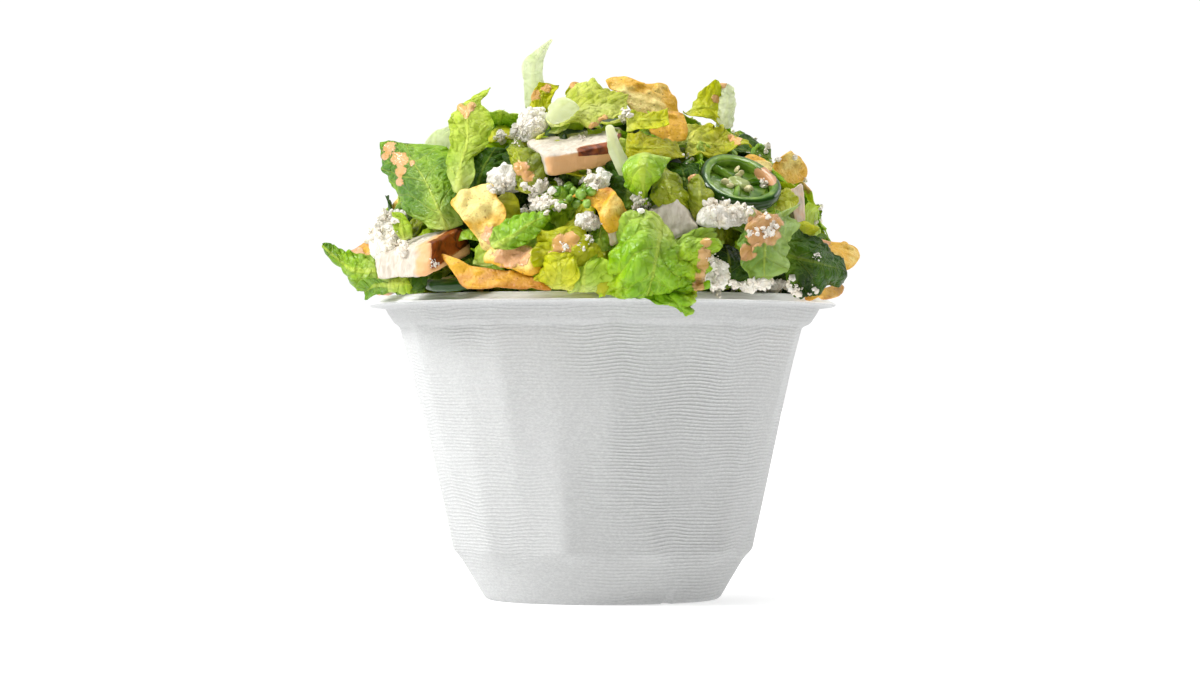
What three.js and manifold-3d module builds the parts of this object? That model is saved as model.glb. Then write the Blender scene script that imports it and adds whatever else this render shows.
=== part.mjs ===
// A take-away cup of salad: a deep moulded-fibre cup with a faceted wall, heaped over its rim with
// torn romaine, and on the heap sliced grilled chicken, tortilla chips, jalapeno slices and lumps
// of crumbled white cheese. Millimetres, +Z up, the origin under the middle of the cup's foot, the
// front of the cup towards -Y. Azimuths are degrees from the front, growing towards +X.
import * as THREE from "three";
import { mergeVertices } from "three/addons/utils/BufferGeometryUtils.js";
import Module from "manifold-3d";

const wasm = await Module();
wasm.setup();

// ---- driving dimensions ------------------------------------------------------------------------
const RIM_RADIUS = 87.5; // the flange's outer edge, a 175 mm rim
const CUP_HEIGHT = 112.7; // to the crest of the rim
const WALL = 2; // moulded fibre
const FOOT_RADIUS = 44.2;
const FACETS = 11; // triangles pointing down, with as many pointing up between them
const FIRST_TOP_CORNER = 2.5; // azimuth of one upper facet corner
const FACET_FOOT = { r: 56.6, z: 18.7 }; // the lower corners
const FACET_HEAD = { r: 77.2, z: 101.9 }; // the upper corners, under the band
const FLOOR_HEIGHT = 4.5; // the inside floor
const RECESS = { r: 32, z: 2.4 }; // the hollow under the floor, inside the ring it stands on
const NOTCH = { azimuth: 33, wide: 4.6, high: 2.1 }; // one of two vents through the foot ring
const GAP = 0.35; // between the cup and what fills it
const POCKET = 0.4; // clearance round each topping
const AROUND = 44; // divisions of the cup, four for each facet corner
const HEAP_AROUND = 36;
const LEAF = 2.4; // thickness of a leaf that stands out of the heap

const SALAD_GREEN = 0x7fb31c;
const CHIP_YELLOW = 0xe6b95a;
const CHICKEN_WHITE = 0xe9d9cb;
const JALAPENO_GREEN = 0x3f7d1f;
const CHEESE_WHITE = 0xf4efe4;
const FIBRE_WHITE = 0xe4e3e1;

// ---- small tools -------------------------------------------------------------------------------
const rad = THREE.MathUtils.degToRad;
const mix = THREE.MathUtils.lerp;

// A point at an azimuth from the front, a distance from the axis and a height.
function around(azimuth, radius, height) {
  return new THREE.Vector3(radius * Math.sin(rad(azimuth)), -radius * Math.cos(rad(azimuth)), height);
}

// An uneven value between -1 and 1 that changes smoothly with two numbers.
function ripple(seed, a, b) {
  const first = Math.sin(1.7 * a + 2.3 * b + seed);
  const second = Math.sin(2.9 * a - 1.9 * b + 2.1 * seed);
  const third = Math.sin(4.3 * a + 3.1 * b + 3.7 * seed);
  return (first + second + third) / 3;
}

// A closed skin over rings of points that run counterclockwise seen from the way they advance.
// The ends are closed by fans, or the last ring is joined to the first where loop is set. The
// quads' diagonals lean the other way where flip(column) says so.
function skin(rings, { loop = false, flip = () => false } = {}) {
  const count = rings[0].length;
  const position = [];
  const triangle = (a, b, c) => position.push(...a.toArray(), ...b.toArray(), ...c.toArray());
  const steps = loop ? rings.length : rings.length - 1;
  for (let i = 0; i < steps; i += 1) {
    const low = rings[i];
    const high = rings[(i + 1) % rings.length];
    for (let j = 0; j < count; j += 1) {
      const k = (j + 1) % count;
      if (flip(j)) {
        triangle(low[j], low[k], high[j]);
        triangle(low[k], high[k], high[j]);
      } else {
        triangle(low[j], low[k], high[k]);
        triangle(low[j], high[k], high[j]);
      }
    }
  }
  if (!loop) {
    const middle = (ring) => ring.reduce((sum, p) => sum.add(p), new THREE.Vector3()).divideScalar(count);
    const first = rings[0];
    const last = rings[rings.length - 1];
    for (let j = 0; j < count; j += 1) {
      const k = (j + 1) % count;
      triangle(middle(first), first[k], first[j]);
      triangle(middle(last), last[j], last[k]);
    }
  }
  const geometry = new THREE.BufferGeometry();
  return geometry.setAttribute("position", new THREE.Float32BufferAttribute(position, 3));
}

function toSolid(geometry) {
  const merged = mergeVertices(geometry, 1e-4);
  return new wasm.Manifold(
    new wasm.Mesh({
      numProp: 3,
      vertProperties: merged.attributes.position.array,
      triVerts: new Uint32Array(merged.index.array),
    }),
  );
}

function toGeometry(solid) {
  const mesh = solid.getMesh();
  const geometry = new THREE.BufferGeometry();
  geometry.setAttribute("position", new THREE.BufferAttribute(mesh.vertProperties, 3));
  return geometry.setIndex(new THREE.BufferAttribute(mesh.triVerts, 1));
}

// The largest connected body, without the slivers that cutting can leave.
function largest(solid) {
  return solid.decompose().reduce((best, body) => (body.volume() > best.volume() ? body : best));
}

function named(name, geometry, color, roughness) {
  geometry.computeVertexNormals();
  const material = new THREE.MeshStandardMaterial({ color, roughness, metalness: 0 });
  const mesh = new THREE.Mesh(geometry, material);
  mesh.name = name;
  return mesh;
}

// ---- the cup -----------------------------------------------------------------------------------
const CORNER_STEP = 360 / FACETS;

// The planes of the facets, as outward direction, slope and reach: a triangle between two upper
// corners and the lower one between them, or two lower corners and the upper one.
const FACET_PLANES = [];
for (let i = 0; i < FACETS; i += 1) {
  const upper = FIRST_TOP_CORNER + i * CORNER_STEP;
  const half = Math.cos(rad(CORNER_STEP / 2));
  const rise = FACET_HEAD.z - FACET_FOOT.z;
  const pointingDown = (FACET_HEAD.r * half - FACET_FOOT.r) / rise;
  const pointingUp = (FACET_HEAD.r - FACET_FOOT.r * half) / rise;
  FACET_PLANES.push({ azimuth: upper + CORNER_STEP / 2, slope: pointingDown, reach: FACET_FOOT.r });
  FACET_PLANES.push({ azimuth: upper, slope: pointingUp, reach: FACET_FOOT.r * half });
}

// How far out the faceted wall is at an azimuth and a height.
function facetRadius(azimuth, z) {
  let radius = Infinity;
  for (const plane of FACET_PLANES) {
    const facing = Math.cos(rad(azimuth - plane.azimuth));
    if (facing < 0.5) continue;
    radius = Math.min(radius, (plane.reach + plane.slope * (z - FACET_FOOT.z)) / facing);
  }
  return radius;
}

function columnAzimuth(j, count) {
  return FIRST_TOP_CORNER + (j * 360) / count;
}

// One ring of the cup: round, or pulled in to the facets less the wall's thickness.
function cupRing(r, z, { faceted = false, inset = 0, count = AROUND } = {}) {
  return Array.from({ length: count }, (_, j) => {
    const azimuth = columnAzimuth(j, count);
    const radius = faceted ? Math.min(r, facetRadius(azimuth, z) - inset) : r;
    return around(azimuth, radius, z);
  });
}

function heightsBetween(low, high, steps) {
  return Array.from({ length: steps + 1 }, (_, i) => mix(low, high, i / steps));
}

function makeCup() {
  const outside = { faceted: true };
  const inside = { faceted: true, inset: WALL };
  const wallHeights = heightsBetween(FACET_FOOT.z, FACET_HEAD.z, AROUND / FACETS / 2);
  const rings = [
    cupRing(RECESS.r, RECESS.z),
    cupRing(RECESS.r + 2, 0),
    cupRing(FOOT_RADIUS - 1.2, 0),
    cupRing(FOOT_RADIUS, 1),
    cupRing(52.7, 15, outside),
    ...wallHeights.map((z) => cupRing(RIM_RADIUS, z, outside)),
    cupRing(FACET_HEAD.r + 0.5, FACET_HEAD.z + 0.8),
    cupRing(80.2, 106.4),
    cupRing(81.2, 108),
    cupRing(RIM_RADIUS - 0.6, 108.8),
    cupRing(RIM_RADIUS, 109.8),
    cupRing(RIM_RADIUS - 0.6, 110.9),
    cupRing(78.4, CUP_HEIGHT),
    cupRing(76.2, 112.2),
    cupRing(75.6, 110.6),
    ...wallHeights.reverse().map((z) => cupRing(RIM_RADIUS, z, inside)),
    cupRing(43.5, 6.2),
    cupRing(40, FLOOR_HEIGHT),
  ];
  const columnsPerHalf = AROUND / FACETS / 2;
  const flip = (j) => Math.floor(j / columnsPerHalf) % 2 === 1;
  let cup = toSolid(skin(rings, { flip }));
  for (const azimuth of [NOTCH.azimuth, NOTCH.azimuth + 180]) {
    cup = cup.subtract(toSolid(makeNotch(azimuth)));
  }
  return named("cup", toGeometry(cup), FIBRE_WHITE, 0.85);
}

// A half-round channel through the ring that the cup stands on, its section open below.
function makeNotch(azimuth) {
  const steps = 6;
  const below = -2;
  const sections = [RECESS.r - 1, FOOT_RADIUS + 8].map((reach) =>
    Array.from({ length: steps + 1 }, (_, i) => {
      const turn = (Math.PI * i) / steps;
      const side = around(azimuth + 90, (NOTCH.wide / 2) * Math.cos(turn), 0);
      const height = i % steps === 0 ? below : NOTCH.high * Math.sin(turn);
      return around(azimuth, reach, 0).add(side).setZ(height);
    }),
  );
  return skin(sections);
}

// The flange and the upper wall with a gap round them, which nothing in the heap may enter.
function makeRimRoom() {
  const inside = { faceted: true, inset: WALL + GAP - 0.1 };
  const lowest = 80;
  const rings = [
    cupRing(RIM_RADIUS, lowest, inside),
    cupRing(RIM_RADIUS + 0.7, lowest),
    cupRing(RIM_RADIUS + 0.7, 111.3),
    cupRing(82, 112.9),
    cupRing(78.4, CUP_HEIGHT + 0.6),
    cupRing(75.2, 112.9),
    cupRing(75.1, 110.6),
    cupRing(RIM_RADIUS, FACET_HEAD.z, inside),
  ];
  return skin(rings, { loop: true });
}

// ---- the salad heap ----------------------------------------------------------------------------
const HEAP_PROFILE = [
  [75, 113.4],
  [80, 113.5],
  [86, 119],
  [86, 127],
  [82, 136],
  [74, 147],
  [63, 158],
  [50, 168],
  [34, 177],
  [14, 183],
];
const HEAP_UNEVEN = 3.4;

function makeHeapCore() {
  const inside = { faceted: true, inset: WALL + 2 * GAP, count: HEAP_AROUND };
  const rings = [
    cupRing(39, FLOOR_HEIGHT + GAP, { count: HEAP_AROUND }),
    cupRing(52, FACET_FOOT.z, inside),
    cupRing(RIM_RADIUS, mix(FACET_FOOT.z, FACET_HEAD.z, 0.5), inside),
    cupRing(RIM_RADIUS, FACET_HEAD.z, inside),
    cupRing(74.8, 110.6, { count: HEAP_AROUND }),
  ];
  HEAP_PROFILE.forEach(([r, z], i) => {
    const free = i < 2 ? 0 : HEAP_UNEVEN;
    rings.push(
      Array.from({ length: HEAP_AROUND }, (_, j) => {
        const azimuth = columnAzimuth(j, HEAP_AROUND);
        const bump = free * ripple(1, 3 * rad(azimuth), z / 7);
        return around(azimuth, Math.max(r + bump, 3), z + 0.4 * bump);
      }),
    );
  });
  return toSolid(skin(rings));
}

// A leaf that stands out of the heap: a thin lens of a section, carried from its root past a bend
// to its tip, widest a little before the middle.
function makeLeaf({ root, bend, tip, width, across }) {
  const sections = 5;
  const points = 4;
  const curve = new THREE.QuadraticBezierCurve3(root, bend, tip);
  const rings = [];
  for (let i = 0; i <= sections; i += 1) {
    const t = i / sections;
    const middle = curve.getPoint(t);
    const tangent = curve.getTangent(t);
    const side = across.clone().addScaledVector(tangent, -across.dot(tangent)).normalize();
    const face = tangent.clone().cross(side);
    const half = (width / 2) * Math.sin(Math.PI * (0.16 + 0.76 * t)) ** 0.7;
    rings.push(
      Array.from({ length: points }, (_, j) => {
        const turn = (2 * Math.PI * j) / points;
        const out = middle.clone().addScaledVector(side, half * Math.cos(turn));
        return out.addScaledVector(face, LEAF * 0.5 * Math.sin(turn));
      }),
    );
  }
  return toSolid(skin(rings));
}

const at = (x, y, z) => new THREE.Vector3(x, y, z);

// The large leaves that make the heap's outline from the front. The side of each is its width's
// direction.
const FRONT_LEAVES = [
  { root: at(-44, -60, 138), bend: at(-66, -62, 157), tip: at(-79, -42, 167), width: 32, across: at(1, 0, 1.2) },
  { root: at(-46, -58, 148), bend: at(-49, -56, 170), tip: at(-39, -46, 186), width: 19, across: at(1, 0, 0) },
  { root: at(-24, -28, 172), bend: at(-29, -26, 192), tip: at(-18.6, -20, 208), width: 10, across: at(1, 0, 0) },
  { root: at(-20, -34, 170), bend: at(-5, -30, 198), tip: at(10, -30, 176), width: 18, across: at(0, 1, 0.2) },
  { root: at(32, -30, 170), bend: at(36, -24, 184), tip: at(48, -18, 190), width: 14, across: at(1, 0, -0.6) },
  { root: at(28, -48, 162), bend: at(42, -44, 170), tip: at(53, -40, 167), width: 13, across: at(0, -0.4, 1) },
  { root: at(8, -64, 148), bend: at(20, -78, 160), tip: at(31, -70, 148), width: 15, across: at(0, 0.6, 1) },
  { root: at(18, -78, 140), bend: at(24, -104, 128), tip: at(30, -92.5, 107), width: 36, across: at(1, 0.2, 0) },
  { root: at(48, -62, 146), bend: at(57, -76, 136), tip: at(60, -70, 121), width: 20, across: at(1, 0.7, 0) },
  { root: at(60, -54, 136), bend: at(80, -58, 130), tip: at(93, -44, 122), width: 22, across: at(0, 0, 1) },
  { root: at(34, -72, 132), bend: at(42, -86, 127), tip: at(44, -82, 117), width: 15, across: at(1, 0.5, 0) },
  { root: at(-70, -42, 116), bend: at(-90, -46, 122), tip: at(-99, -38, 131), width: 16, across: at(0, 0.3, 1) },
  { root: at(-80, -42, 122), bend: at(-88, -46, 116), tip: at(-84, -42, 108), width: 12, across: at(1, -0.5, 0) },
  { root: at(-40, -76, 138), bend: at(-30, -84, 143), tip: at(-19, -82, 148), width: 12, across: at(0, -0.5, 1) },
  { root: at(-22, -80, 118), bend: at(-12, -98, 124), tip: at(-2, -84, 130), width: 18, across: at(0, 0.3, 1) },
];

// Leaves round the sides and the back, by turns low over the rim and high on the heap.
const REAR_LEAVES = { count: 9, from: 86, to: 278 };

function makeRearLeaf(i) {
  const azimuth = mix(REAR_LEAVES.from, REAR_LEAVES.to, i / (REAR_LEAVES.count - 1));
  const low = i % 2 === 0;
  const sweep = 5 * ripple(5, i, 0);
  return makeLeaf({
    root: around(azimuth, low ? 68 : 52, low ? 122 : 154),
    bend: around(azimuth, low ? 95 : 76, low ? 129 : 158),
    tip: around(azimuth + sweep, low ? 96 : 66, low ? 117 : 175),
    width: low ? 30 : 24,
    across: around(azimuth + 90, 1, 0.25),
  });
}

// ---- toppings ----------------------------------------------------------------------------------
// An outline of a blunt, uneven oval, as a factor of its half sizes at a turn round it.
function outline(turn, squareness, seed, uneven) {
  const c = Math.abs(Math.cos(turn)) ** squareness;
  const s = Math.abs(Math.sin(turn)) ** squareness;
  return (c + s) ** (-1 / squareness) * (1 + uneven * ripple(seed, 2 * Math.cos(turn), 2 * Math.sin(turn)));
}

// A flat piece of an outline: levels are its steps from the back's middle over the edge to the
// front's middle, each a height and a scale of the outline, and sag bends it as it lies.
function plate({ long, wide, points, levels, squareness, seed, uneven, sag, grow }) {
  const rings = levels.map(([height, scale]) =>
    Array.from({ length: points }, (_, j) => {
      const turn = (2 * Math.PI * j) / points;
      const factor = outline(turn, squareness, seed, uneven);
      const x = ((long / 2) * factor * scale + grow * scale) * Math.cos(turn);
      const y = ((wide / 2) * factor * scale + grow * scale) * Math.sin(turn);
      return new THREE.Vector3(x, y, height + sag(x, y));
    }),
  );
  return skin(rings);
}

// A fried corn chip: thin, with blunt corners, curved along its length and rippled.
function chipShape({ long, wide, curl, seed }, grow) {
  const half = 0.9 + grow;
  return plate({
    long,
    wide,
    points: 10,
    levels: [[-half, 0.5], [-half * 0.7, 1], [half * 0.7, 1], [half, 0.5]],
    squareness: 1.5,
    seed,
    uneven: 0.16,
    sag: (x, y) => -curl * (x / long) ** 2 * 4 + 0.6 * ripple(seed, x / 4, y / 4),
    grow,
  });
}

// A slice of grilled breast: a thick slab with rounded edges, blunter at one end.
function chickenShape({ long, wide, thick, seed }, grow) {
  const half = thick / 2 + grow;
  return plate({
    long,
    wide,
    points: 10,
    levels: [[-half, 0.88], [-half + 1.6, 1], [half - 1.6, 1], [half, 0.88]],
    squareness: 2.8,
    seed,
    uneven: 0.07,
    sag: (x, y) => 0.5 * ripple(seed, x / 9, y / 9),
    grow,
  });
}

// A slice across a pepper: a round of the wall, its rim bulging a little.
function jalapenoShape({ long, wide, thick, seed }, grow) {
  const half = thick / 2 + grow;
  return plate({
    long,
    wide,
    points: 14,
    levels: [[-half, 0.93], [0, 1], [half, 0.93]],
    squareness: 2,
    seed,
    uneven: 0.03,
    sag: () => 0,
    grow,
  });
}

// One of the three seed chambers of a pepper slice, right through it.
function makeChamber({ long, wide, thick }, chamber) {
  const points = 5;
  const middle = rad(90 + chamber * 120);
  const reach = 0.26;
  const sections = [-thick, thick].map((height) =>
    Array.from({ length: points }, (_, j) => {
      const turn = (2 * Math.PI * j) / points;
      const x = reach * Math.cos(middle) + 0.13 * Math.cos(turn);
      const y = reach * Math.sin(middle) + 0.13 * Math.sin(turn);
      return new THREE.Vector3(long * x, wide * y, height);
    }),
  );
  return toSolid(skin(sections));
}

// A lump broken from a soft crumbling cheese.
function cheeseShape({ long, wide, thick, seed }, grow) {
  const points = 7;
  const levels = 4;
  const rings = [];
  for (let i = 1; i <= levels; i += 1) {
    const rise = -Math.cos((Math.PI * i) / (levels + 1));
    const scale = Math.sin((Math.PI * i) / (levels + 1)) ** 0.7;
    rings.push(
      Array.from({ length: points }, (_, j) => {
        const turn = (2 * Math.PI * j) / points;
        const lump = 1 + 0.16 * ripple(seed, 3 * Math.cos(turn), 3 * Math.sin(turn) + 2 * rise);
        const x = (long / 2) * lump + grow;
        const y = (wide / 2) * lump + grow;
        const z = (thick / 2) * lump + grow;
        return new THREE.Vector3(x * scale * Math.cos(turn), y * scale * Math.sin(turn), z * rise);
      }),
    );
  }
  return skin(rings);
}

// Where each topping lies: its middle, the azimuth it faces, its tilt up from facing level, the
// turn of its length from level in its own plane, and its sizes.
const CHIPS = [
  { name: "left", at: [-43, -75, 140], facing: -16, tilt: 22, turn: 100, long: 25, wide: 19, curl: 1.5 },
  { name: "folded", at: [0.5, -87, 140.5], facing: 0, tilt: 30, turn: -32, long: 24, wide: 13, curl: 3 },
  { name: "rim", at: [-37, -82, 118.6], facing: -25, tilt: 30, turn: -9, long: 40, wide: 11, curl: 2 },
  { name: "dressed", at: [-31, -74.5, 126.5], facing: -22, tilt: 50, turn: -8, long: 22, wide: 12, curl: 1.5 },
  { name: "top", at: [15.5, -26, 186], facing: 25, tilt: 42, turn: -20, long: 28, wide: 17, curl: 3 },
  { name: "under_top", at: [24, -47, 171], facing: 24, tilt: 30, turn: 80, long: 15, wide: 14, curl: 1 },
  { name: "right", at: [70, -15, 159.5], facing: 52, tilt: 22, turn: 20, long: 17, wide: 14, curl: 1.5 },
  { name: "behind_slice", at: [57, -31, 160.5], facing: 35, tilt: 40, turn: 0, long: 14, wide: 10, curl: 1 },
  { name: "far_right", at: [84, -36, 130], facing: 42, tilt: 50, turn: -20, long: 22, wide: 13, curl: 1.5 },
  { name: "low_right", at: [83, -36, 116.5], facing: 60, tilt: 55, turn: 8, long: 17, wide: 9, curl: 1 },
  { name: "far_left", at: [-88, -27, 130], facing: -55, tilt: 40, turn: 20, long: 13, wide: 9, curl: 1 },
  { name: "rear_right", azimuth: 112, radius: 82, height: 140, tilt: 28, turn: 60, long: 27, wide: 20, curl: 2 },
  { name: "rear_rim", azimuth: 138, radius: 86, height: 121, tilt: 30, turn: 6, long: 36, wide: 14, curl: 2 },
  { name: "rear_high", azimuth: 176, radius: 48, height: 173, tilt: 50, turn: 30, long: 28, wide: 20, curl: 3 },
  { name: "rear_left", azimuth: 222, radius: 82, height: 138, tilt: 26, turn: 110, long: 26, wide: 19, curl: 2 },
  { name: "side_left", azimuth: 262, radius: 74, height: 148, tilt: 34, turn: 20, long: 24, wide: 17, curl: 2 },
];

const CHICKEN = [
  { name: "left", at: [-66, -62, 126.5], facing: -42, tilt: 40, turn: 14, long: 36, wide: 18, thick: 12 },
  { name: "top", at: [-10, -57, 163.5], facing: -6, tilt: 52, turn: -4, long: 36, wide: 19, thick: 11 },
  { name: "centre", at: [23.5, -76, 136], facing: 12, tilt: 16, turn: 62, long: 27, wide: 20, thick: 9 },
  { name: "bit", at: [1.5, -84, 129.5], facing: 0, tilt: 20, turn: 50, long: 13, wide: 9, thick: 7 },
  { name: "right", at: [69, -32, 145], facing: 62, tilt: 16, turn: 75, long: 25, wide: 14, thick: 8 },
  { name: "rear", azimuth: 194, radius: 79, height: 142, tilt: 32, turn: 12, long: 37, wide: 20, thick: 11 },
  { name: "rear_left", azimuth: 243, radius: 85, height: 126, tilt: 36, turn: -12, long: 34, wide: 18, thick: 11 },
  { name: "rear_right", azimuth: 132, radius: 60, height: 160, tilt: 46, turn: -10, long: 34, wide: 18, thick: 11 },
];

const JALAPENOS = [
  { name: "right", at: [48.5, -60, 153], facing: 22, tilt: 46, turn: -8, long: 29, wide: 27, thick: 4.6 },
  { name: "behind", at: [38, -53.5, 151], facing: 22, tilt: 46, turn: -8, long: 27, wide: 25, thick: 4.4 },
  { name: "rim_left", at: [-50, -59, 116.8], facing: -36, tilt: 76, turn: 0, long: 26, wide: 25, thick: 4.6 },
  { name: "rear_low", azimuth: 167, radius: 86, height: 122, tilt: 34, turn: 0, long: 27, wide: 25, thick: 4.6 },
  { name: "rear_high", azimuth: 232, radius: 62, height: 161, tilt: 48, turn: 0, long: 26, wide: 25, thick: 4.6 },
];

const CHEESES = [
  { name: "left", at: [-33.5, -66, 152], facing: -20, tilt: 20, turn: 0, long: 14, wide: 10, thick: 9 },
  { name: "middle", at: [-1, -76, 151.2], facing: 0, tilt: 20, turn: 0, long: 9.5, wide: 7.5, thick: 7 },
  { name: "right", at: [43.5, -77, 138.5], facing: 28, tilt: 20, turn: 12, long: 21, wide: 10, thick: 9 },
  { name: "rim", at: [40.5, -79, 118.2], facing: 25, tilt: 5, turn: 0, long: 13, wide: 11, thick: 9 },
  { name: "low", at: [-6, -82, 136.6], facing: 0, tilt: 20, turn: 0, long: 8, wide: 6, thick: 6 },
  { name: "top", at: [-26.5, -44, 173], facing: -20, tilt: 30, turn: 60, long: 14, wide: 11, thick: 9 },
  { name: "big_left", at: [-77, -44, 134], facing: -50, tilt: 15, turn: 70, long: 18, wide: 16, thick: 12 },
  { name: "spill", at: [54, -69, 117], facing: 38, tilt: 10, turn: 0, long: 11, wide: 6.5, thick: 7 },
  { name: "rear_1", azimuth: 100, radius: 86, height: 124, tilt: 15, turn: 20, long: 16, wide: 12, thick: 10 },
  { name: "rear_2", azimuth: 150, radius: 74, height: 150, tilt: 25, turn: 0, long: 15, wide: 11, thick: 9 },
  { name: "rear_3", azimuth: 206, radius: 58, height: 166, tilt: 35, turn: 40, long: 14, wide: 10, thick: 9 },
  { name: "rear_4", azimuth: 212, radius: 87, height: 121, tilt: 15, turn: 10, long: 17, wide: 12, thick: 10 },
  { name: "rear_5", azimuth: 282, radius: 70, height: 156, tilt: 25, turn: 0, long: 14, wide: 11, thick: 9 },
];

// Puts a topping where its row says, its own +Z facing out.
function lay(mesh, { at: place, azimuth, radius, height, facing = azimuth, tilt, turn }) {
  const out = around(facing, Math.cos(rad(tilt)), Math.sin(rad(tilt)));
  const right = around(facing + 90, 1, 0);
  const up = out.clone().cross(right);
  const lengthwise = right.clone().multiplyScalar(Math.cos(rad(turn)));
  lengthwise.addScaledVector(up, Math.sin(rad(turn)));
  const crosswise = out.clone().cross(lengthwise);
  mesh.quaternion.setFromRotationMatrix(new THREE.Matrix4().makeBasis(lengthwise, crosswise, out));
  mesh.position.copy(place ? new THREE.Vector3(...place) : around(azimuth, radius, height));
  mesh.updateMatrixWorld();
  return mesh;
}

const KINDS = [
  { kind: "chip", rows: CHIPS, shape: chipShape, color: CHIP_YELLOW, roughness: 0.6 },
  { kind: "chicken", rows: CHICKEN, shape: chickenShape, color: CHICKEN_WHITE, roughness: 0.6 },
  { kind: "jalapeno", rows: JALAPENOS, shape: jalapenoShape, color: JALAPENO_GREEN, roughness: 0.35 },
  { kind: "cheese", rows: CHEESES, shape: cheeseShape, color: CHEESE_WHITE, roughness: 0.8 },
];

const group = new THREE.Group();
group.add(makeCup());

let heap = makeHeapCore();
for (const leaf of FRONT_LEAVES) heap = heap.add(makeLeaf(leaf));
for (let i = 0; i < REAR_LEAVES.count; i += 1) heap = heap.add(makeRearLeaf(i));

const pockets = [];
for (const { kind, rows, shape, color, roughness } of KINDS) {
  rows.forEach((row, i) => {
    const seeded = { ...row, seed: i + 1 };
    let geometry = shape(seeded, 0);
    if (kind === "jalapeno") {
      let slice = toSolid(geometry);
      for (const chamber of [0, 1, 2]) slice = slice.subtract(makeChamber(row, chamber));
      geometry = toGeometry(slice);
    }
    const mesh = lay(named(kind + "_" + row.name, geometry, color, roughness), row);
    group.add(mesh);
    pockets.push(toSolid(shape(seeded, POCKET).applyMatrix4(mesh.matrixWorld)));
  });
}
heap = heap.subtract(toSolid(makeRimRoom()));
for (const pocket of pockets) heap = heap.subtract(pocket);
group.add(named("salad_heap", toGeometry(largest(heap)), SALAD_GREEN, 0.5));

export default group;
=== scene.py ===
"""A take-away cup of salad: a deep moulded-fibre cup with a faceted wall, heaped over its rim
with torn romaine, sliced grilled chicken, tortilla chips, jalapeno slices and crumbled white
cheese in an orange-pink creamy dressing.

Lengths are millimetres until a mesh is made, and metres for lights. +Z is up, and the front of the
cup faces -Y. Azimuths are degrees from the front, growing towards +X. What follows the photo is
placed by a pixel of its 1200 x 675 frame and a depth y in millimetres, which the camera's own
geometry turns into a place.
"""

import math

import bpy
import numpy as np
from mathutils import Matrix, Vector
from mathutils.bvhtree import BVHTree


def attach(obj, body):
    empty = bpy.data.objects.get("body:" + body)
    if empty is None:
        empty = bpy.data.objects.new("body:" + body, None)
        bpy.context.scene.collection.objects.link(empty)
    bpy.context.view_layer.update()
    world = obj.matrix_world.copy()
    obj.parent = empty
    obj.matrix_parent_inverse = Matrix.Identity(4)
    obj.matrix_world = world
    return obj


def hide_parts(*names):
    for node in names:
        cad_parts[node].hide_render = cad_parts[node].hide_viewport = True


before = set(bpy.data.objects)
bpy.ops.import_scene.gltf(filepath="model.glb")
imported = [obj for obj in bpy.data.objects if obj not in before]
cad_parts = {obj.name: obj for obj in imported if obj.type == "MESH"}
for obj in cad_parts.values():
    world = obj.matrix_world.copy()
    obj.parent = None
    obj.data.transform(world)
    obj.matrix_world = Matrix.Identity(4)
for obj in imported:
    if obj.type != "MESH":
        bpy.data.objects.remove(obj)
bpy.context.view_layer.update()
MM = 0.001

# ---- the camera, and places seen in the photo --------------------------------------------------
PHOTO = {"wide": 1200, "high": 675}
LENS = 102.0
SENSOR = 36.0
CAMERA_PLACE = (-0.94, -1274.0, 74.2)
CAMERA_TILT = math.radians(1.053)
CLIP = (0.05, 60.0)
FOCAL_PIXELS = LENS / SENSOR * PHOTO["wide"]


def make_camera():
    """A long lens a little over a metre away, at two thirds of the cup's height, tilted slightly
    up."""
    data = bpy.data.cameras.new("camera")
    data.lens, data.sensor_width = LENS, SENSOR
    data.clip_start, data.clip_end = CLIP
    camera = bpy.data.objects.new("camera", data)
    camera.location = [c * MM for c in CAMERA_PLACE]
    camera.rotation_euler = (math.pi / 2 + CAMERA_TILT, 0, 0)
    bpy.context.scene.collection.objects.link(camera)
    bpy.context.scene.camera = camera


def rays(pixels):
    """The direction from the camera through each pixel, scaled to one millimetre of depth y."""
    pixels = np.asarray(pixels, float)
    right = (pixels[..., 0] - PHOTO["wide"] / 2) / FOCAL_PIXELS
    up = (PHOTO["high"] / 2 - pixels[..., 1]) / FOCAL_PIXELS
    forward = math.cos(CAMERA_TILT) - up * math.sin(CAMERA_TILT)
    rise = math.sin(CAMERA_TILT) + up * math.cos(CAMERA_TILT)
    return np.stack([right / forward, np.ones_like(right), rise / forward], -1)


def seen(rows):
    """Places from (pixel x, pixel y, depth y): along the pixel's ray as far as that depth."""
    rows = np.asarray(rows, float)
    far = rows[..., 2:3] - CAMERA_PLACE[1]
    return np.array(CAMERA_PLACE) + rays(rows[..., :2]) * far


def seen_on_plane(pixels, middle, facing):
    """Places where the pixels' rays meet the plane through the middle with that normal."""
    direction = rays(pixels)
    reach = (np.array(middle) - CAMERA_PLACE) @ facing / (direction @ facing)
    return np.array(CAMERA_PLACE) + direction * reach[..., None]


def pixels_of(points):
    """Where in the photo's frame points show."""
    offset = np.asarray(points) - CAMERA_PLACE
    level, steep = math.cos(CAMERA_TILT), math.sin(CAMERA_TILT)
    depth = offset[..., 1] * level + offset[..., 2] * steep
    rise = offset[..., 2] * level - offset[..., 1] * steep
    x = PHOTO["wide"] / 2 + FOCAL_PIXELS * offset[..., 0] / depth
    return np.stack([x, PHOTO["high"] / 2 - FOCAL_PIXELS * rise / depth], -1)


# ---- numbers, curves and unevenness ------------------------------------------------------------
LATTICE_SIZE = 32
SEED_SHIFT = np.array([12.7, 5.3, 8.9])
LATTICE = np.random.default_rng(11).uniform(-1, 1, (LATTICE_SIZE,) * 3)


def smooth(low, high, x):
    """0 at low and 1 at high with the cubic 3t^2 - 2t^3 between them, whichever is larger."""
    t = np.clip((np.asarray(x) - low) / (high - low), 0, 1)
    return t * t * (3 - 2 * t)


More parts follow.
